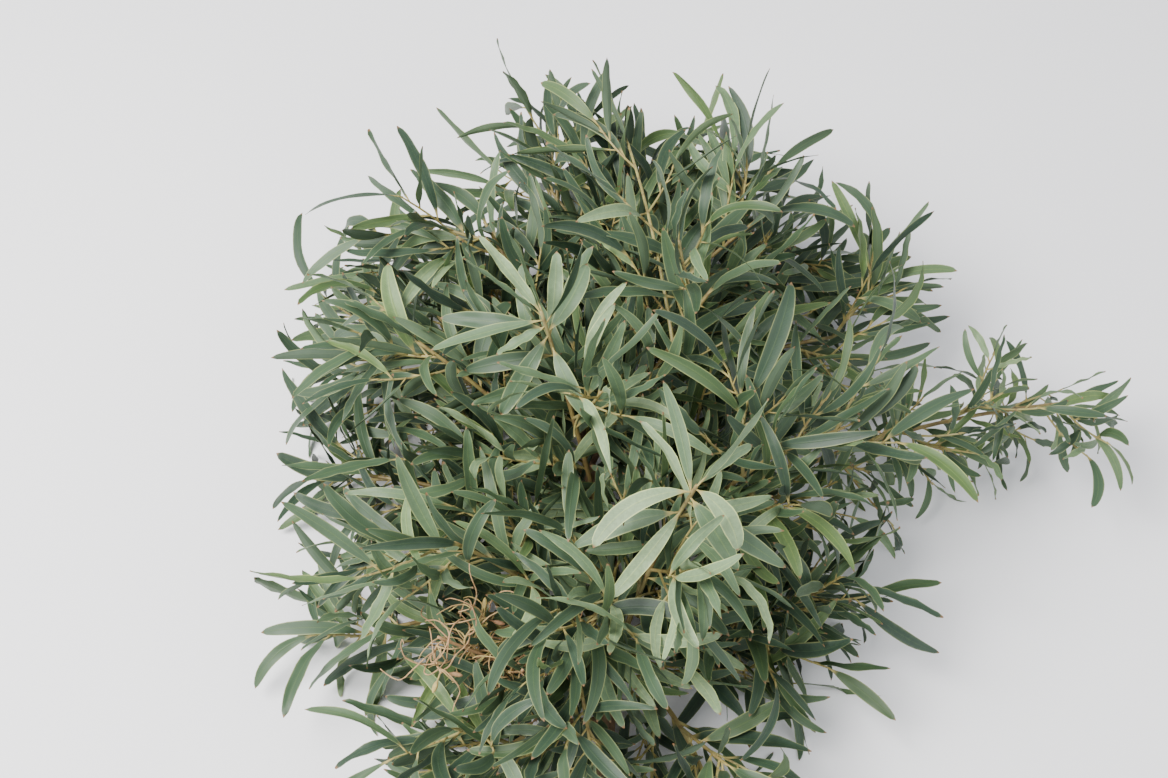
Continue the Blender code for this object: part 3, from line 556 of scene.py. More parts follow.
def grow_twigs(space, shoot, first, step):
    """Every step-th twig of a shoot, from the first. Numbers and places are those of the whole set."""
    last = SPREAD_FROM if shoot.name in SPREAD_LEAVES else TWIG_LAST
    twiggy = path_length(shoot.axis.points) * (last - TWIG_FIRST)
    count = max(FEWEST_TWIGS, round(2.0 * twiggy / TWIG_SPACING))
    for number in range(first, count, step):
        share = mixed(TWIG_FIRST, last, number / (count - 1))
        size = TWIG_LENGTH * mixed(FIRST_TWIG_SCALE, LAST_TWIG_SCALE, share)
        tries = twig_tries(shoot.axis, share, number * GOLDEN_TURN, f"{shoot.name}-twig-{number}", TWIG, size,
                           TWIG_LENGTH_FILL, SLENDER.get(shoot.name, 1.0))
        twig = place_wood(space, f"{shoot.name}_twig_{number}", shoot.axis.name, tries)
        if twig:
            shoot.twigs.append(twig)


def random_leaf(rng, scale):
    """The measures of one leaf, in metres and radians."""
    return SimpleNamespace(
        length=(LEAF_LENGTH + rng.uniform(-1.0, 1.0) * LEAF_LENGTH_SPREAD) * scale,
        width=(LEAF_WIDTH + rng.uniform(-1.0, 1.0) * LEAF_WIDTH_SPREAD) * scale**0.5,
        sickle=rng.choice((-1.0, 1.0)) * rng.uniform(*LEAF_SICKLE),
        arch=rng.uniform(*LEAF_ARCH),
        twist=rng.uniform(*LEAF_TWIST),
        blunt=rng.uniform(*TIP_POWER),
    )


def place_leaf(space, shoot, wood, share, turn, key, room=None):
    """One leaf, at the first of the tried attitudes that is clear of everything else. A leaf that only this scene
    shows is given the room that it stays in, and may come nearer to the others."""
    root, ahead = along_path(wood.points, share)
    scales = SMALL_LEAF_SCALES if room else LEAF_SCALES
    for attempt in range(LEAF_TRIES):
        rng = random.Random(f"{SEED}-{key}-{attempt}")
        angles = END_LEAF_ANGLE if share == END_SHARE else LEAF_ANGLE
        heading, outward = leaning(rng, ahead, turn, LEAF_WILD + LEAF_WILDER * attempt, angles)
        heading = (heading + UP * rng.uniform(*LEAF_LIFT)).normalized()
        facing = UP * (MORE_FACES_UP if room else LEAF_FACES_UP) - outward * LEAF_FACES_IN
        facing += scatter(rng) * rng.uniform(*LEAF_STRAY)
        leaf = random_leaf(rng, scales[attempt * len(scales) // LEAF_TRIES] * SLENDER.get(shoot.name, 1.0))
        if room:
            leaf.width *= MORE_LEAF_WIDTH
            leaf.sickle *= MORE_LEAF_SICKLE
        if facing.cross(heading).length < LEAST_FACING:
            continue
        stations = leaf_line(root, heading, facing, leaf)
        if not press_on_floor(stations):
            continue
        body = ribbon(stations) if room else blade(stations, BLADE_STATIONS, LEAF_CLEARANCE)
        if room and (not inside(body[0], *room.box) or hides(body[0], room.spots)):
            continue
        if space.clear(*body, but=(wood.name,)):
            add_record(space, shoot, key, body, stations)
            return


def add_record(space, shoot, key, body, stations):
    """Keeps a leaf that has found its place."""
    space.add(*body, key)
    shoot.leaves.append(SimpleNamespace(key=key, stations=stations))


def spread_leaf(space, shoot, number):
    """One leaf of an open spray, at the first attitude near its own that is clear of the rest of the branch."""
    share, turn, roll, lift, length, width, sickle, arch = SPREAD_LEAVES[shoot.name][number]
    root, _ = along_path(shoot.axis.points, share)
    key = f"{shoot.name}_spread_{number}"
    own = {shoot.name, f"{shoot.name}_air"} | {leaf.key for leaf in shoot.leaves}
    for attempt in range(SPREAD_TRIES):
        rng = random.Random(f"{SEED}-{key}-{attempt}")
        around = math.radians(turn) + rng.uniform(-1.0, 1.0) * SPREAD_TURN * attempt
        heading = RIGHT * math.cos(around) + SPREAD_UP * math.sin(around)
        heading += SPREAD_OUT * (lift + rng.uniform(-1.0, 1.0) * SPREAD_LIFT * attempt)
        facing = Quaternion(heading.normalized(), math.radians(roll)) @ SPREAD_OUT
        twist, blunt = rng.uniform(-SPREAD_TWIST, SPREAD_TWIST), rng.uniform(*TIP_POWER)
        leaf = SimpleNamespace(
            length=length / 1000.0, width=width / 1000.0, sickle=sickle, arch=arch, twist=twist, blunt=blunt
        )
        stations = leaf_line(root, heading, facing, leaf)
        body = blade(stations, BLADE_STATIONS, LEAF_CLEARANCE)
        if space.clear(*body, but=own):
            add_record(space, shoot, key, body, stations)
            return


def spread_spray(space, shoot):
    """The leaves of a spray that lies open on top, and the air over it that no other piece enters."""
    end = shoot.axis.points[-1]
    for radius in OPEN_RADII:
        air = square_tube([end + SPREAD_OUT * OPEN_FROM, end + SPREAD_OUT * OPEN_ABOVE], [radius, radius])
        space.add(*air, f"{shoot.name}_air")
    for number in range(len(SPREAD_LEAVES[shoot.name])):
        spread_leaf(space, shoot, number)


def leaves_on(space, shoot, wood, shares, kind="leaf", first=FIRST_LEAF_TURN, room=None):
    """Leaves at these shares of a stem, turned round it in order."""
    for k, share in enumerate(shares):
        place_leaf(space, shoot, wood, share, k * GOLDEN_TURN + first, f"{wood.name}_{kind}_{k}", room)


def in_spread(shoot, share):
    """Whether this place on a shoot is in the part whose leaves lie spread."""
    return shoot.name in SPREAD_LEAVES and share >= SPREAD_FROM


def grow_tuft(space):
    """The dried flower stalks: a thin stem, its curled stalks and the buds at their ends."""
    aim = (TUFT_END - stem_point(TUFT_SHARE)).normalized()
    root, stub_end = seated(TUFT_SHARE, aim)
    points = grow_to(stub_end + aim * SEAT_GAP, aim, TUFT_END, TUFT_STEPS)
    radii = tapered(TUFT_RADIUS, TUFT_TIP_RADIUS, len(points))
    axis = place_wood(space, "flower_tuft", "main_stem", [(points, radii)])
    tuft = SimpleNamespace(name="flower_tuft", axis=axis, root=root, stub_end=stub_end, stalks=[], buds=[])
    for number in range(STALKS):
        stalk = place_wood(space, f"stalk_{number}", "flower_tuft", stalk_tries(tuft, number))
        if stalk:
            tuft.stalks.append(stalk)
            tuft.buds += buds_at(space, stalk)
    return tuft


def stalk_tries(tuft, number):
    """The curled stalks to try in one place of the tuft's stem."""
    root, ahead = along_path(tuft.axis.points, mixed(FIRST_STALK, END_SHARE, number / (STALKS - 1)))
    for attempt in range(WOOD_TRIES):
        rng = random.Random(f"{SEED}-stalk-{number}-{attempt}")
        outward = square_to(ahead, number * GOLDEN_TURN + rng.uniform(-STALK_WILD, STALK_WILD))
        heading = outward + ahead * rng.uniform(*STALK_AHEAD)
        length = STALK_LENGTH * rng.uniform(*STALK_LENGTH_FILL)
        points = grow(root, heading, length, scatter(rng), STALK_CURL, STALK_STEPS)
        yield points, [STALK_RADIUS] * len(points)


def buds_at(space, stalk):
    """The buds at a stalk's end, as (root, heading) for each that has room."""
    rng = random.Random(f"{SEED}-{stalk.name}-buds")
    root, ahead = along_path(stalk.points, BUD_SHARE)
    found = []
    for k in range(BUDS_EACH):
        outward = square_to(ahead, k * math.tau / BUDS_EACH + rng.uniform(-BUD_WILD, BUD_WILD))
        heading = (ahead * BUD_AHEAD + outward).normalized()
        tip = root + heading * (PEDICEL_LENGTH + BUD_LENGTH)
        room = square_tube([root + heading * PEDICEL_LENGTH, tip], [BUD_RADIUS + LEAF_CLEARANCE] * 2)
        if tip.z > FLOOR_CLEARANCE and space.clear(*room, but=(stalk.name, "flower_tuft")):
            space.add(*room, "flower_bud")
            found.append((root, heading))
    return found


def grow_branch():
    """The whole branch as it stands in the part: every shoot's axis, then the twigs, then the leaves."""
    space = Space()
    points = [stem_point(k / STEM_STEPS) for k in range(STEM_STEPS + 1)]
    stem = SimpleNamespace(points=points, radii=tapered(STEM_RADIUS, STEM_TIP_RADIUS, len(points)))
    space.add(*square_tube(points, [r + WOOD_CLEARANCE for r in stem.radii]), "main_stem")
    shoots = [grow_shoot(space, name) for name in SPREAD_LEAVES]
    for shoot in shoots:
        spread_spray(space, shoot)
    tuft = grow_tuft(space)
    shoots.append(grow_leader(space))
    shoots += [grow_shoot(space, name) for name in SHOOT_ENDS if name not in SPREAD_LEAVES]
    for shoot in shoots:
        grow_twigs(space, shoot, 0, 2)
    for shoot in shoots:
        leaves_on(space, shoot, shoot.axis, [share for share in AXIS_LEAVES if not in_spread(shoot, share)])
    for shoot in shoots:
        for twig in shoot.twigs:
            leaves_on(space, shoot, twig, TWIG_LEAVES)
    return SimpleNamespace(stem=stem, shoots=shoots, tuft=tuft, space=space)


def ribbon(stations):
    """A strip along a leaf, narrower than its blade, that tells whether two leaves would cross."""
    points = []
    for k in BLADE_STATIONS[:-1]:
        s = stations[k]
        across = s.side * (s.width / 2.0 * RIBBON_SHARE)
        middle = s.place + s.normal * (BLADE_THICKNESS / 2.0)
        points += [middle + across, middle - across]
    points.append(stations[-1].place)
    last = len(points) - 1
    faces = [(2 * k, 2 * k + 1, 2 * k + 3, 2 * k + 2) for k in range(len(BLADE_STATIONS) - 2)]
    return points, faces + [(last - 2, last - 1, last)]


def inside(points, low, high):
    return all(low[i] <= p[i] <= high[i] for p in points for i in range(3))


def seen_at(point):
    """A point's place in the picture, in metres, and its nearness to the camera."""
    return point.x, point.dot(SEEN_UP), point.dot(SEEN_FROM)


def hides(points, spots):
    """Whether any of the points lies over a spot that is to stay in sight."""
    for x, y, near in map(seen_at, points):
        for (spot_x, spot_y, spot_near), reach in spots:
            if near > spot_near and (x - spot_x) ** 2 + (y - spot_y) ** 2 < reach * reach:
                return True
    return False


def open_spots(branch):
    """The spots that more leaves leave in sight: the dried stalks and the bare lengths of some stems."""
    spots = [(seen_at(TUFT_END), TUFT_AIR)]
    for shoot in branch.shoots:
        woods = [(shoot.axis, BARE.get(shoot.name))] + [(twig, BARE.get(twig.name)) for twig in shoot.twigs]
        for wood, bare in woods:
            if bare:
                for k in range(BARE_SPOTS):
                    place = along_path(wood.points, mixed(*bare, k / (BARE_SPOTS - 1)))[0]
                    spots.append((seen_at(place), BARE_AIR))
    return spots


def long_twig(branch):
    """A long golden twig over the back of the head, in sight nearly along its length."""
    shoot = next(s for s in branch.shoots if s.name == LONG_TWIG_FROM)
    root, _ = along_path(shoot.axis.points, LONG_TWIG_SHARE)
    tries = []
    for attempt in range(TWIGLET.tries):
        rng = random.Random(f"{SEED}-long-{attempt}")
        end = LONG_TWIG_END + scatter(rng) * LONG_TWIG_WILD * attempt
        aim = (end - root).normalized()
        points = grow_to(root, (aim + UP * LONG_TWIG_RISE).normalized(), end, LONG_TWIG_STEPS)
        tries.append((points, tapered(LONG_TWIG_RADIUS, TWIGLET.radii[0], len(points))))
    twig = place_wood(branch.space, "long_twig", shoot.name, tries, 0.0)
    if twig:
        shoot.twigs.append(twig)


def grow_twiglets(space, shoot, wood):
    """The thin side stems of a shoot or twig, apart from where its leaves lie spread."""
    for k, share in enumerate(TWIGLETS):
        if wood is shoot.axis and in_spread(shoot, share):
            continue
        turn, key = k * GOLDEN_TURN + MORE_TURN, f"{wood.name}-twiglet-{k}"
        tries = twig_tries(wood, share, turn, key, TWIGLET, 1.0, TWIGLET_LENGTH)
        twiglet = place_wood(space, f"{wood.name}_twiglet_{k}", wood.name, tries, 0.0)
        if twiglet:
            shoot.twiglets.append(twiglet)


def curled(rng, root, heading, length):
    """Points along a thin dried stalk that winds as it goes."""
    points, ahead = [root.copy()], heading.normalized()
    turn_about = scatter(rng)
    for k in range(CURL_STEPS):
        turn_about = (turn_about + scatter(rng) * CURL_STRAY).normalized()
        ahead = Quaternion(turn_about, rng.uniform(*CURL_TURN)) @ ahead
        points.append(points[-1] + ahead * (length / CURL_STEPS))
    return points


def curl_stalks(tuft, room_box):
    """More of the dried stalks, thinner and more curled than those of the solid."""
    woods = [tuft.axis] + tuft.stalks
    for number in range(CURLS):
        for attempt in range(LEAF_TRIES):
            rng = random.Random(f"{SEED}-curl-{number}-{attempt}")
            wood = woods[number % len(woods)]
            least = FIRST_STALK if wood is tuft.axis else FIRST_CURL
            root, ahead = along_path(wood.points, rng.uniform(least, END_SHARE))
            heading = square_to(ahead, rng.uniform(0.0, math.tau)) + ahead * rng.uniform(*STALK_AHEAD)
            heading += UP * CURL_LIFT
            points = curled(rng, root, heading, rng.uniform(*CURL_LENGTH))
            if inside(points, *room_box) and min(p.z for p in points) > FLOOR_CLEARANCE:
                radii = tapered(CURL_RADIUS, CURL_TIP_RADIUS, len(points))
                tuft.stalks.append(SimpleNamespace(name=f"curl_{number}", points=points, radii=radii))
                break


def fill_out(branch, room_box):
    """More twigs, twiglets and leaves between those of the solids."""
    space = branch.space
    curl_stalks(branch.tuft, room_box)
    for shoot in branch.shoots:
        shoot.old = [twig.name for twig in shoot.twigs]
    long_twig(branch)
    room = SimpleNamespace(box=room_box, spots=open_spots(branch))
    for shoot in branch.shoots:
        grow_twigs(space, shoot, 1, 2)
        shoot.twiglets = []
        for wood in [shoot.axis] + shoot.twigs:
            grow_twiglets(space, shoot, wood)
    for shoot in branch.shoots:
        shares = [share for share in MORE_AXIS_LEAVES if not in_spread(shoot, share)]
        leaves_on(space, shoot, shoot.axis, shares, "more", MORE_TURN, room)
    for shoot in branch.shoots:
        for twig in shoot.twigs:
            shares = MORE_TWIG_LEAVES if twig.name in shoot.old else NEW_TWIG_LEAVES
            leaves_on(space, shoot, twig, shares, "more", MORE_TURN, room)
    for shoot in branch.shoots:
        for twiglet in shoot.twiglets:
            leaves_on(space, shoot, twiglet, TWIGLET_LEAVES, "more", MORE_TURN, room)


def smooth_path(points, radii, per_step):
    """More points along a path, on a curve through the given ones."""
    placed, sizes = [], []
    last = len(points) - 1
    for k in range(last):
        a, b = points[max(k - 1, 0)], points[k]
        c, d = points[k + 1], points[min(k + 2, last)]
        for j in range(per_step):
            t = j / per_step
            bend = (b * 2.0 + (c - a) * t + (a * 2.0 - b * 5.0 + c * 4.0 - d) * t * t
                    + (b * 3.0 - a - c * 3.0 + d) * t * t * t)
            placed.append(bend * 0.5)
            sizes.append(mixed(radii[k], radii[k + 1], t))
    return placed + [points[-1].copy()], sizes + [radii[-1]]


class Mesh:
    """A mesh under construction: closed pieces, and a set of numbers for each point."""

    def __init__(self, *names):
        self.points, self.faces, self.values = [], [], {name: [] for name in names}

    def add(self, points, faces, **values):
        base = len(self.points)
        self.points += points
        self.faces += [tuple(base + i for i in face) for face in faces]
        for name, numbers in values.items():
            self.values[name] += numbers

    def piece(self, name, finish, sharp, shift):
        mesh = bpy.data.meshes.new(name)
        mesh.from_pydata([p + shift for p in self.points], [], self.faces)
        for key, numbers in self.values.items():
            mesh.attributes.new(key, "FLOAT", "POINT").data.foreach_set("value", numbers)
        mesh.materials.append(finish)
        mesh.shade_smooth()
        mesh.set_sharp_from_angle(angle=sharp)
        obj = bpy.data.objects.new(name, mesh)
        bpy.context.scene.collection.objects.link(obj)
        return obj


def tube_faces(rings, around):
    """Faces of a tube whose end rings are closed by a fan to one point each, placed after the rings."""
    faces = []
    for k, j in itertools.product(range(rings - 1), range(around)):
        a, b = k * around + j, k * around + (j + 1) % around
        faces.append((a, b, b + around, a + around))
    first, last, base = rings * around, rings * around + 1, (rings - 1) * around
    for j in range(around):
        after = (j + 1) % around
        faces.append((first, after, j))
        faces.append((last, base + j, base + after))
    return faces


def frames_along(points):
    """A side and an up direction at each point of a path, carried along it without twisting."""
    frames = []
    side = square_to((points[1] - points[0]).normalized(), 0.0)
    for k in range(len(points)):
        along = (points[min(k + 1, len(points) - 1)] - points[max(k - 1, 0)]).normalized()
        side = (side - along * side.dot(along)).normalized()
        frames.append((side, along.cross(side)))
    return frames


def add_tube(mesh, points, radii, around, tone, rough, key):
    """A round tapered stem. rough moves its skin in and out by that share of the radius."""
    rng = random.Random(f"{SEED}-skin-{key}")
    placed, travels, travelled = [], [], 0.0
    for k, (side, up) in enumerate(frames_along(points)):
        travelled += (points[k] - points[k - 1]).length if k else 0.0
        for j in range(around):
            turn = math.tau * j / around
            radius = radii[k] * (1.0 + rng.uniform(-rough, rough))
            placed.append(points[k] + (side * math.cos(turn) + up * math.sin(turn)) * radius)
            travels.append(travelled)
    placed.append(points[0] - (points[1] - points[0]).normalized() * radii[0] * START_CAP)
    placed.append(points[-1] + (points[-1] - points[-2]).normalized() * radii[-1] * END_CAP)
    for p in placed:
        p.z = max(p.z, 0.0)
    travels += [0.0, travelled]
    mesh.add(placed, tube_faces(len(points), around), tone=[tone] * len(placed), travelled=travels)


def add_stem(mesh, stem, kind, rng):
    """A stem of one of the kinds that come often, in a tone of its own."""
    per_step, around, tones, rough = SKINS[kind]
    points, radii = smooth_path(stem.points, stem.radii, per_step)
    add_tube(mesh, points, radii, around, rng.uniform(*tones), rough, stem.name)


def fine_stations(coarse):
    """Points along a leaf, read from its rule's own stations: (share, place, side, normal, width)."""
    found = []
    shoulder = coarse[round(BLUNT_FROM * LEAF_STEPS)].width
    for k in range(FINE_STATIONS):
        share = k / (FINE_STATIONS - 1)
        share = mixed(share, eased(share), CLOSE_AT_ENDS)
        at = share * LEAF_STEPS
        i = min(int(at), LEAF_STEPS - 1)
        a, b, t = coarse[i], coarse[i + 1], at - i
        side = a.side.lerp(b.side, t).normalized()
        normal = a.normal.lerp(b.normal, t).normalized()
        width = mixed(a.width, b.width, t)
        if share > BLUNT_FROM:
            left = (share - BLUNT_FROM) / (1.0 - BLUNT_FROM)
            width = mixed(width, shoulder * math.sqrt(max(1.0 - left * left, 0.0)), BLUNTNESS)
        found.append((share, a.place.lerp(b.place, t), side, normal, width))
    return found


def add_leaf(mesh, record, tone, fresh):
    """A fine closed leaf: a round stalk, and a thin blade that is folded at its rib and waved at its edges."""
    rng = random.Random(f"{SEED}-{record.key}-fine")
    fold = rng.uniform(*FOLD)
    height, count, phase = rng.uniform(*WAVE_HEIGHT), rng.uniform(*WAVE_COUNT), rng.uniform(0.0, math.tau)
    placed, along, across, under = [], [], [], []
    stations = fine_stations(record.stations)
    for share, place, side, normal, width in stations:
        opened = eased((share - STALK_FROM) / (STALK_END - STALK_FROM))
        thin = mixed(STALK_THICK, BLADE_THICK, opened) * mixed(1.0, TIP_THIN, share)
        half = max(width / 2.0, LEAST_HALF)
        flat = normal.z * normal.z > LEVEL and place.z < LOW
        ring = []
        for x, top in RING:
            swing = math.sin(math.tau * count * share + phase * (1.0 + WAVE_SKEW * x))
            wave = height * swing * abs(x) ** WAVE_POWER
            lift = (fold * abs(x) * half + wave) * opened * (FLAT_FOLD if flat else 1.0)
            round_x = x if opened > 0.5 else math.copysign(math.sqrt(abs(x)) * STALK_ROUND, x)
            thickness = top * thin * (1.0 if x == 0.0 or opened < 0.5 else EDGE_THIN)
            raised = normal * (lift + thickness + BLADE_THICKNESS * FINE_HEIGHT)
            ring.append(place + side * (mixed(round_x, x, opened) * half) + raised)
            across.append(x)
            along.append(share)
            under.append((1.0 - top) / 2.0)
        lowest = min(p.z for p in ring)
        if lowest < LEAF_FLOOR:
            for p in ring:
                p.z += LEAF_FLOOR - lowest
        placed += ring
    first, second, before, last = stations[0], stations[1], stations[-2], stations[-1]
    start, end = (second[1] - first[1]).normalized(), (last[1] - before[1]).normalized()
    placed.append(first[1] + first[3] * BLADE_THICKNESS * FINE_HEIGHT - start * LEAF_FLOOR)
    tip = last[1] + last[3] * BLADE_THICKNESS * FINE_HEIGHT + end * TIP_POINT
    tip.z = max(tip.z, TIP_FLOOR)
    placed.append(tip)
    faces = [tuple(reversed(face)) for face in tube_faces(len(stations), len(RING))]
    mesh.add(placed, faces, along=along + [0.0, 1.0], across=across + [0.0, 0.0], under=under + [0.5, 0.5],
             tone=[tone] * len(placed), fresh=[fresh] * len(placed))


class Nodes:
    """Short names for the nodes of one material. Its colours are linear, and its noise scales are in 1/m."""

    def __init__(self, name):
        self.material = bpy.data.materials.new(name)
        self.material.use_nodes = True
        self.tree = self.material.node_tree
        self.shader = self.tree.nodes["Principled BSDF"]

    def node(self, kind, **settings):
        made = self.tree.nodes.new(kind)
        for key, value in settings.items():
            setattr(made, key, value)
        return made

    def link(self, value, socket):
        if isinstance(value, bpy.types.NodeSocket):
            self.tree.links.new(value, socket)
        else:
            socket.default_value = (*value, 1.0) if isinstance(value, tuple) else value

    def math(self, operation, a, b=0.0, c=0.0):
        made = self.node("ShaderNodeMath", operation=operation)
        for socket, value in zip(made.inputs, (a, b, c)):
            self.link(value, socket)
        return made.outputs[0]

    def times(self, a, b):
        return self.math("MULTIPLY", a, b)

    def range(self, value, low, high, to_low=0.0, to_high=1.0):
        made = self.node("ShaderNodeMapRange", interpolation_type="SMOOTHSTEP")
        for socket, number in zip(made.inputs[:5], (value, low, high, to_low, to_high)):
            self.link(number, socket)
        return made.outputs[0]

    def mix(self, share, a, b, how="MIX"):
        made = self.node("ShaderNodeMix", data_type="RGBA", blend_type=how)
        self.link(share, made.inputs[0])
        self.link(a, made.inputs[6])
        self.link(b, made.inputs[7])
        return made.outputs[2]

    def tint(self, color, value, low, high, most, other):
        """Mixes in up to most of the other colour as value goes from low to high."""
        return self.mix(self.range(value, low, high, 0.0, most), color, other)

    def number(self, name):
        return self.node("ShaderNodeAttribute", attribute_type="GEOMETRY", attribute_name=name).outputs["Fac"]

    def place(self, scale=(1.0, 1.0, 1.0)):
        coordinates = self.node("ShaderNodeTexCoord").outputs["Object"]
        mapping = self.node("ShaderNodeMapping")
        self.link(coordinates, mapping.inputs["Vector"])
        mapping.inputs["Scale"].default_value = scale
        return mapping.outputs[0]

    def noise(self, scale, detail, vector=None, roughness=0.5):
        made = self.node("ShaderNodeTexNoise")
        self.link(vector if vector is not None else self.place(), made.inputs["Vector"])
        made.inputs["Scale"].default_value = scale
        made.inputs["Detail"].default_value = detail
        made.inputs["Roughness"].default_value = roughness
        return made.outputs["Fac"]

    def ramp(self, value, *stops):
        made = self.node("ShaderNodeValToRGB")
        self.link(value, made.inputs[0])
        ramp = made.color_ramp
        for k, (at, color) in enumerate(stops):
            stop = ramp.elements[k] if k < 2 else ramp.elements.new(at)
            stop.position = at
            stop.color = (*color, 1.0)
        return made.outputs[0]

    def finish(self, color, roughness, height, distance, strength, specular):
        self.link(color, self.shader.inputs["Base Color"])
        self.link(roughness, self.shader.inputs["Roughness"])
        self.shader.inputs["Specular IOR Level"].default_value = specular
        bump = self.node("ShaderNodeBump")
        bump.inputs["Strength"].default_value = strength
        bump.inputs["Distance"].default_value = distance
        self.link(height, bump.inputs["Height"])
        self.link(bump.outputs[0], self.shader.inputs["Normal"])
        return self.material


def leaf_material():
    n = Nodes("eucalyptus_leaf")
    along, across, under, tone, fresh = (n.number(name) for name in ("along", "across", "under", "tone", "fresh"))
    out = n.math("ABSOLUTE", across)
    color = n.ramp(tone, (0.0, (0.0135, 0.0285, 0.0190)), (1.0, (0.225, 0.318, 0.168)),
                   (0.30, (0.0235, 0.0480, 0.0305)), (0.60, (0.0480, 0.0880, 0.0470)),
                   (0.85, (0.122, 0.196, 0.100)))
    young = n.mix(n.range(tone, 0.2, 0.8), (0.040, 0.082, 0.016), (0.150, 0.235, 0.062))
    color = n.mix(n.times(fresh, 0.75), color, young)
    cloud = n.noise(28.0, 3.0)
    color = n.tint(color, cloud, 0.35, 0.75, 0.28, (0.068, 0.106, 0.072))
    mottle = n.noise(420.0, 4.0)
    color = n.tint(color, mottle, 0.35, 0.7, 0.22, (0.048, 0.088, 0.040))
    phase = n.times(n.math("SUBTRACT", along, n.times(out, 0.075)), 38.0 * math.tau)
    vein = n.math("POWER", n.math("MULTIPLY_ADD", n.math("COSINE", phase), 0.5, 0.5), 7.0)
    vein = n.times(vein, n.range(out, 0.86, 0.78))
    ring = n.times(n.range(out, 0.76, 0.81), n.range(out, 0.87, 0.83))
    vein = n.math("MAXIMUM", vein, n.times(ring, 0.7))
    color = n.mix(n.times(vein, 0.45), color, (1.30, 1.22, 1.10), "MULTIPLY")
    rib = n.times(n.range(out, 0.11, 0.03), n.range(along, 1.0, 0.85, 0.25, 1.0))
    color = n.mix(n.times(rib, 0.60), color, (1.55, 1.40, 1.10), "MULTIPLY")
    color = n.mix(n.times(under, 0.25), color, (0.170, 0.220, 0.150))
    rim = n.range(out, 0.85, 0.94)
    color = n.mix(n.times(rim, 0.18), color, (0.360, 0.370, 0.160))
    color = n.mix(n.times(rim, 0.75), color, (2.20, 1.95, 1.45), "MULTIPLY")
    speck = n.times(n.range(n.noise(900.0, 2.0), 0.72, 0.77), n.range(n.noise(45.0, 1.0), 0.50, 0.62))
    color = n.mix(n.times(speck, 0.75), color, (0.110, 0.060, 0.030))
    color = n.mix(n.range(along, 0.15, 0.07), color, (0.400, 0.330, 0.115))
    color = n.mix(n.range(along, 0.965, 0.995), color, (0.230, 0.130, 0.060))
    roughness = n.range(cloud, 0.3, 0.7, 0.40, 0.56)
    height = n.math("MULTIPLY_ADD", vein, 0.35, n.times(rib, 0.8))
    height = n.math("MULTIPLY_ADD", n.noise(1500.0, 3.0), 0.35, height)
    return n.finish(color, roughness, height, distance=0.00012, strength=0.9, specular=0.32)


def twig_material():
    n = Nodes("eucalyptus_twig")
    tone, travelled = n.number("tone"), n.number("travelled")
    color = n.ramp(tone, (0.0, (0.205, 0.150, 0.052)), (1.0, (0.370, 0.340, 0.108)),
                   (0.45, (0.295, 0.240, 0.078)))
    streaks = n.noise(300.0, 4.0, n.place((1.0, 1.0, 0.35)))
    color = n.tint(color, streaks, 0.35, 0.7, 0.45, (0.200, 0.115, 0.045))
    blush = n.noise(35.0, 2.0)
    color = n.tint(color, blush, 0.45, 0.7, 0.5, (0.350, 0.330, 0.150))
    node = n.math("POWER", n.math("MULTIPLY_ADD", n.math("COSINE", n.times(travelled, 380.0)), 0.5, 0.5), 24.0)
    color = n.mix(n.times(node, 0.5), color, (0.150, 0.080, 0.045))
    height = n.math("ADD", streaks, n.times(node, 0.6))
    roughness = n.range(streaks, 0.3, 0.7, 0.42, 0.62)
    return n.finish(color, roughness, height, distance=0.0002, strength=0.8, specular=0.45)


def bark_material():
    n = Nodes("eucalyptus_bark")
    streaks = n.noise(240.0, 6.0, n.place((1.0, 0.12, 1.0)), 0.62)
    patches = n.noise(30.0, 4.0, n.place((1.0, 0.4, 1.0)))
    color = n.ramp(streaks, (0.25, (0.120, 0.070, 0.042)), (0.80, (0.420, 0.310, 0.200)),
                   (0.50, (0.270, 0.170, 0.100)))
    color = n.mix(n.range(patches, 0.48, 0.62), color, (0.330, 0.205, 0.120))
    color = n.mix(n.range(n.noise(70.0, 3.0), 0.60, 0.70, 0.0, 0.7), color, (0.300, 0.290, 0.190))
    pores = n.range(n.noise(1100.0, 2.0, n.place((0.6, 1.0, 0.6))), 0.66, 0.72)
    color = n.mix(n.times(pores, 0.7), color, (0.085, 0.050, 0.035))
    height = n.math("SUBTRACT", n.math("MULTIPLY_ADD", patches, 0.5, streaks), n.times(pores, 0.5))
    roughness = n.range(streaks, 0.3, 0.7, 0.62, 0.82)
    return n.finish(color, roughness, height, distance=0.0006, strength=0.9, specular=0.3)


def cut_material():
    n = Nodes("cut_wood")
    tone = n.number("tone")
    rings = n.math("MULTIPLY_ADD", n.math("SINE", n.times(tone, 46.0)), 0.5, 0.5)
    color = n.ramp(tone, (0.0, (0.230, 0.140, 0.075)), (1.0, (0.240, 0.150, 0.080)),
                   (0.12, (0.560, 0.430, 0.250)), (0.82, (0.600, 0.480, 0.300)))
    color = n.mix(n.times(rings, 0.25), color, (0.400, 0.280, 0.150))
    color = n.mix(n.range(n.noise(700.0, 4.0), 0.4, 0.7, 0.0, 0.3), color, (0.350, 0.240, 0.130))
    roughness, height = n.range(rings, 0.0, 1.0, 0.6, 0.75), n.noise(1200.0, 4.0)
    return n.finish(color, roughness, height, distance=0.0002, strength=0.8, specular=0.3)


def dried_material():
    n = Nodes("dried_stalk")
    tone = n.number("tone")
    color = n.ramp(tone, (0.0, (0.330, 0.160, 0.095)), (1.0, (0.430, 0.380, 0.110)),
                   (0.5, (0.470, 0.310, 0.150)))
    grain = n.noise(500.0, 5.0)
    color = n.tint(color, grain, 0.35, 0.7, 0.4, (0.220, 0.120, 0.055))
    roughness = n.range(grain, 0.3, 0.7, 0.6, 0.8)
    return n.finish(color, roughness, grain, distance=0.0003, strength=0.9, specular=0.25)


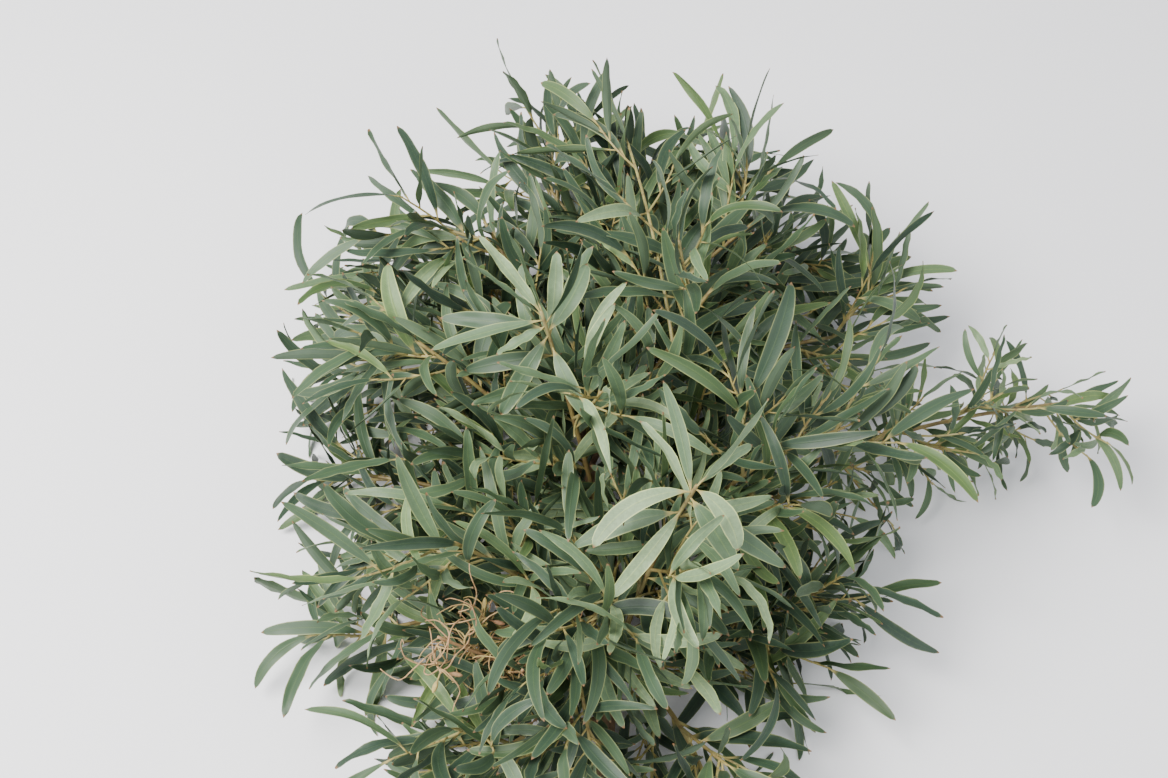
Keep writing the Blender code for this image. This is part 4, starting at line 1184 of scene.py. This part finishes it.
def floor_material():
    n = Nodes("pale_surface")
    cloud = n.noise(2.0, 3.0)
    color = n.mix(n.range(cloud, 0.3, 0.7), (0.90, 0.90, 0.925), (0.93, 0.93, 0.945))
    return n.finish(color, 0.7, n.noise(160.0, 3.0), distance=0.0002, strength=0.2, specular=0.2)


def dress_shoot(shoot, shift, leaf_finish, twig_finish):
    """The leaves and the wood of one shoot, in place of its solid."""
    rng = random.Random(f"{SEED}-{shoot.name}-tones")
    # The open sprays on top take pale tones, a painted highlight for the light that falls on them; other shoots
    # draw theirs at random
    middle = PAINTED_LIT_SPRAY_TONES.get(shoot.name, rng.uniform(*SHOOT_TONES))
    leaves = Mesh("along", "across", "under", "tone", "fresh")
    for record in shoot.leaves:
        tone = min(max(rng.gauss(middle, TONE_SPREAD), 0.0), 1.0)
        likely = FRESH_RIGHT if record.stations[-1].place.x > FRESH_FROM else FRESH_LEFT
        fresh = rng.uniform(*FRESHNESS) if rng.random() < likely else rng.uniform(0.0, FRESHNESS[0])
        add_leaf(leaves, record, tone, 0.0 if shoot.name in PAINTED_LIT_SPRAY_TONES else fresh)
    wood = Mesh("tone", "travelled")
    add_stem(wood, shoot.axis, "axis", rng)
    for twig in shoot.twigs:
        add_stem(wood, twig, "twig", rng)
    for twiglet in shoot.twiglets:
        add_stem(wood, twiglet, "twiglet", rng)
    made = [leaves.piece(f"{shoot.name}_leaves", leaf_finish, LEAF_SHARP, shift)]
    made.append(wood.piece(f"{shoot.name}_wood", twig_finish, WOOD_SHARP, shift))
    for piece in made:
        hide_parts(shoot.name)
        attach(piece, "root")


def cut_face(start, after, radius):
    """A disc in the stem's cut end, which reaches back past the next point of the stem."""
    face = Mesh("tone", "travelled")
    along = (after - start).normalized()
    side = square_to(along, 0.0)
    up = along.cross(side)
    depth = (after - start).length * CUT_DEPTH
    placed, tones = [], []
    for back, ring, j in itertools.product((0.0, 1.0), CUT_RINGS, range(CUT_AROUND)):
        turn = math.tau * j / CUT_AROUND
        out = (side * math.cos(turn) + up * math.sin(turn)) * radius * ring
        place = start + along * (back * depth) + out
        place.z = max(place.z, LEAF_FLOOR)
        placed.append(place)
        tones.append(ring)
    count = CUT_AROUND * len(CUT_RINGS)
    outer = count - CUT_AROUND
    placed += [start.copy(), start + along * depth]
    faces = []
    for j in range(CUT_AROUND):
        k = (j + 1) % CUT_AROUND
        faces += [(2 * count, k, j), (2 * count + 1, count + j, count + k)]
        for a in range(0, outer, CUT_AROUND):
            b = a + CUT_AROUND
            faces.append((a + j, a + k, b + k, b + j))
            faces.append((count + a + j, count + b + j, count + b + k, count + a + k))
        faces.append((outer + j, outer + k, count + outer + k, count + outer + j))
    face.add(placed, faces, tone=tones + [0.0, 0.0], travelled=[0.0] * len(placed))
    return face


def dress_stem(branch, shift, bark, cut):
    """The woody stem with its stubs and collars, and its cut face."""
    wood = Mesh("tone", "travelled")
    points, radii = smooth_path(branch.stem.points, branch.stem.radii, STEM_PER_STEP)
    swollen = []
    for point, radius in zip(points, radii):
        near = min((shoot.root - point).length for shoot in branch.shoots + [branch.tuft])
        swollen.append(radius * (1.0 + COLLAR * eased(1.0 - near / COLLAR_SPAN)))
    add_tube(wood, points[1:], swollen[1:], *STEM_SKIN, "stem")
    for shoot in branch.shoots + [branch.tuft]:
        if shoot.name == "leader":
            continue
        reach = shoot.stub_end - shoot.root
        stub = [shoot.root + reach * share for share, _ in STUB_PROFILE]
        sizes = [shoot.axis.radii[0] * size for _, size in STUB_PROFILE]
        add_tube(wood, stub, sizes, *STUB_SKIN, f"{shoot.name}-stub")
    stem = wood.piece("stem_bark", bark, WOOD_SHARP, shift)
    end = cut_face(points[0], points[1], radii[0]).piece("stem_cut_face", cut, CUT_SHARP, shift)
    for piece in (stem, end):
        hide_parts("main_stem")
        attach(piece, "root")


def dress_tuft(tuft, shift, dried):
    """The dried flower stalks with their buds."""
    rng = random.Random(f"{SEED}-tuft-tones")
    wood = Mesh("tone", "travelled")
    add_tube(wood, *smooth_path(tuft.axis.points, tuft.axis.radii, TUFT_PER_STEP), *TUFT_SKIN, "tuft")
    for stalk in tuft.stalks:
        add_stem(wood, stalk, "stalk", rng)
    for k, (root, heading) in enumerate(tuft.buds):
        stem, sizes = [root + heading * reach for reach, _ in BUD_PROFILE], [size for _, size in BUD_PROFILE]
        add_tube(wood, stem, sizes, BUD_AROUND, rng.uniform(*BUD_TONES), BUD_ROUGH, f"bud-{k}")
    piece = wood.piece("flower_stalks", dried, WOOD_SHARP, shift)
    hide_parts("flower_tuft")
    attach(piece, "root")


def new_object(name, data, place, facing=None):
    """An object of the scene at this place, turned to look along facing."""
    obj = bpy.data.objects.new(name, data)
    obj.location = place
    if facing is not None:
        obj.rotation_mode = "QUATERNION"
        obj.rotation_quaternion = facing.to_track_quat("-Z", "Y")
    bpy.context.scene.collection.objects.link(obj)
    return obj


def set_stage(target):
    """The pale floor, soft light and the camera at the photograph's angle."""
    bm = bmesh.new()
    bmesh.ops.create_grid(bm, x_segments=4, y_segments=4, size=FLOOR_SIZE)
    mesh = bpy.data.meshes.new("floor")
    bm.to_mesh(mesh)
    bm.free()
    mesh.materials.append(floor_material())
    floor = new_object("floor", mesh, (0.0, 0.0, -FLOOR_DROP))
    world = bpy.data.worlds.new("soft_room")
    bpy.context.scene.world = world
    world.use_nodes = True
    background = world.node_tree.nodes["Background"]
    background.inputs["Color"].default_value = ROOM_COLOR
    background.inputs["Strength"].default_value = ROOM_STRENGTH
    for name, (place, aim, size, power, color) in LAMPS.items():
        light = bpy.data.lights.new(name, "AREA")
        light.shape, light.size, light.energy, light.color = "DISK", size, power, color
        new_object(name, light, place, Vector(aim) - Vector(place))
    camera = bpy.data.cameras.new("camera")
    camera.lens, camera.sensor_width, camera.clip_start, camera.clip_end = LENS, SENSOR, NEAR, FAR
    off_x, off_y = [(HEAD_PIXEL[i] - PHOTO[i] / 2.0) * PIXEL for i in range(2)]
    aim = target - RIGHT * off_x + SEEN_UP * off_y
    distance = PHOTO[0] * PIXEL * LENS / SENSOR
    bpy.context.scene.camera = new_object("camera", camera, aim + SEEN_FROM * distance, -SEEN_FROM)


branch = grow_branch()
reach = next(shoot for shoot in branch.shoots if shoot.name == "reaching_shoot")
tip = max(s.place.x for leaf in reach.leaves for s in leaf.stations)
shift = Vector((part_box("reaching_shoot")[1][0] - tip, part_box("main_stem")[0][1], 0.0))
margin = Vector((BOX_MARGIN,) * 3)
room_box = (cad_low - shift - margin, cad_high - shift + margin)
fill_out(branch, room_box)
set_stage(HEAD_MIDDLE + shift)
leaf_finish, twig_finish = leaf_material(), twig_material()
for shoot in branch.shoots:
    dress_shoot(shoot, shift, leaf_finish, twig_finish)
dress_stem(branch, shift, bark_material(), cut_material())
dress_tuft(branch.tuft, shift, dried_material())
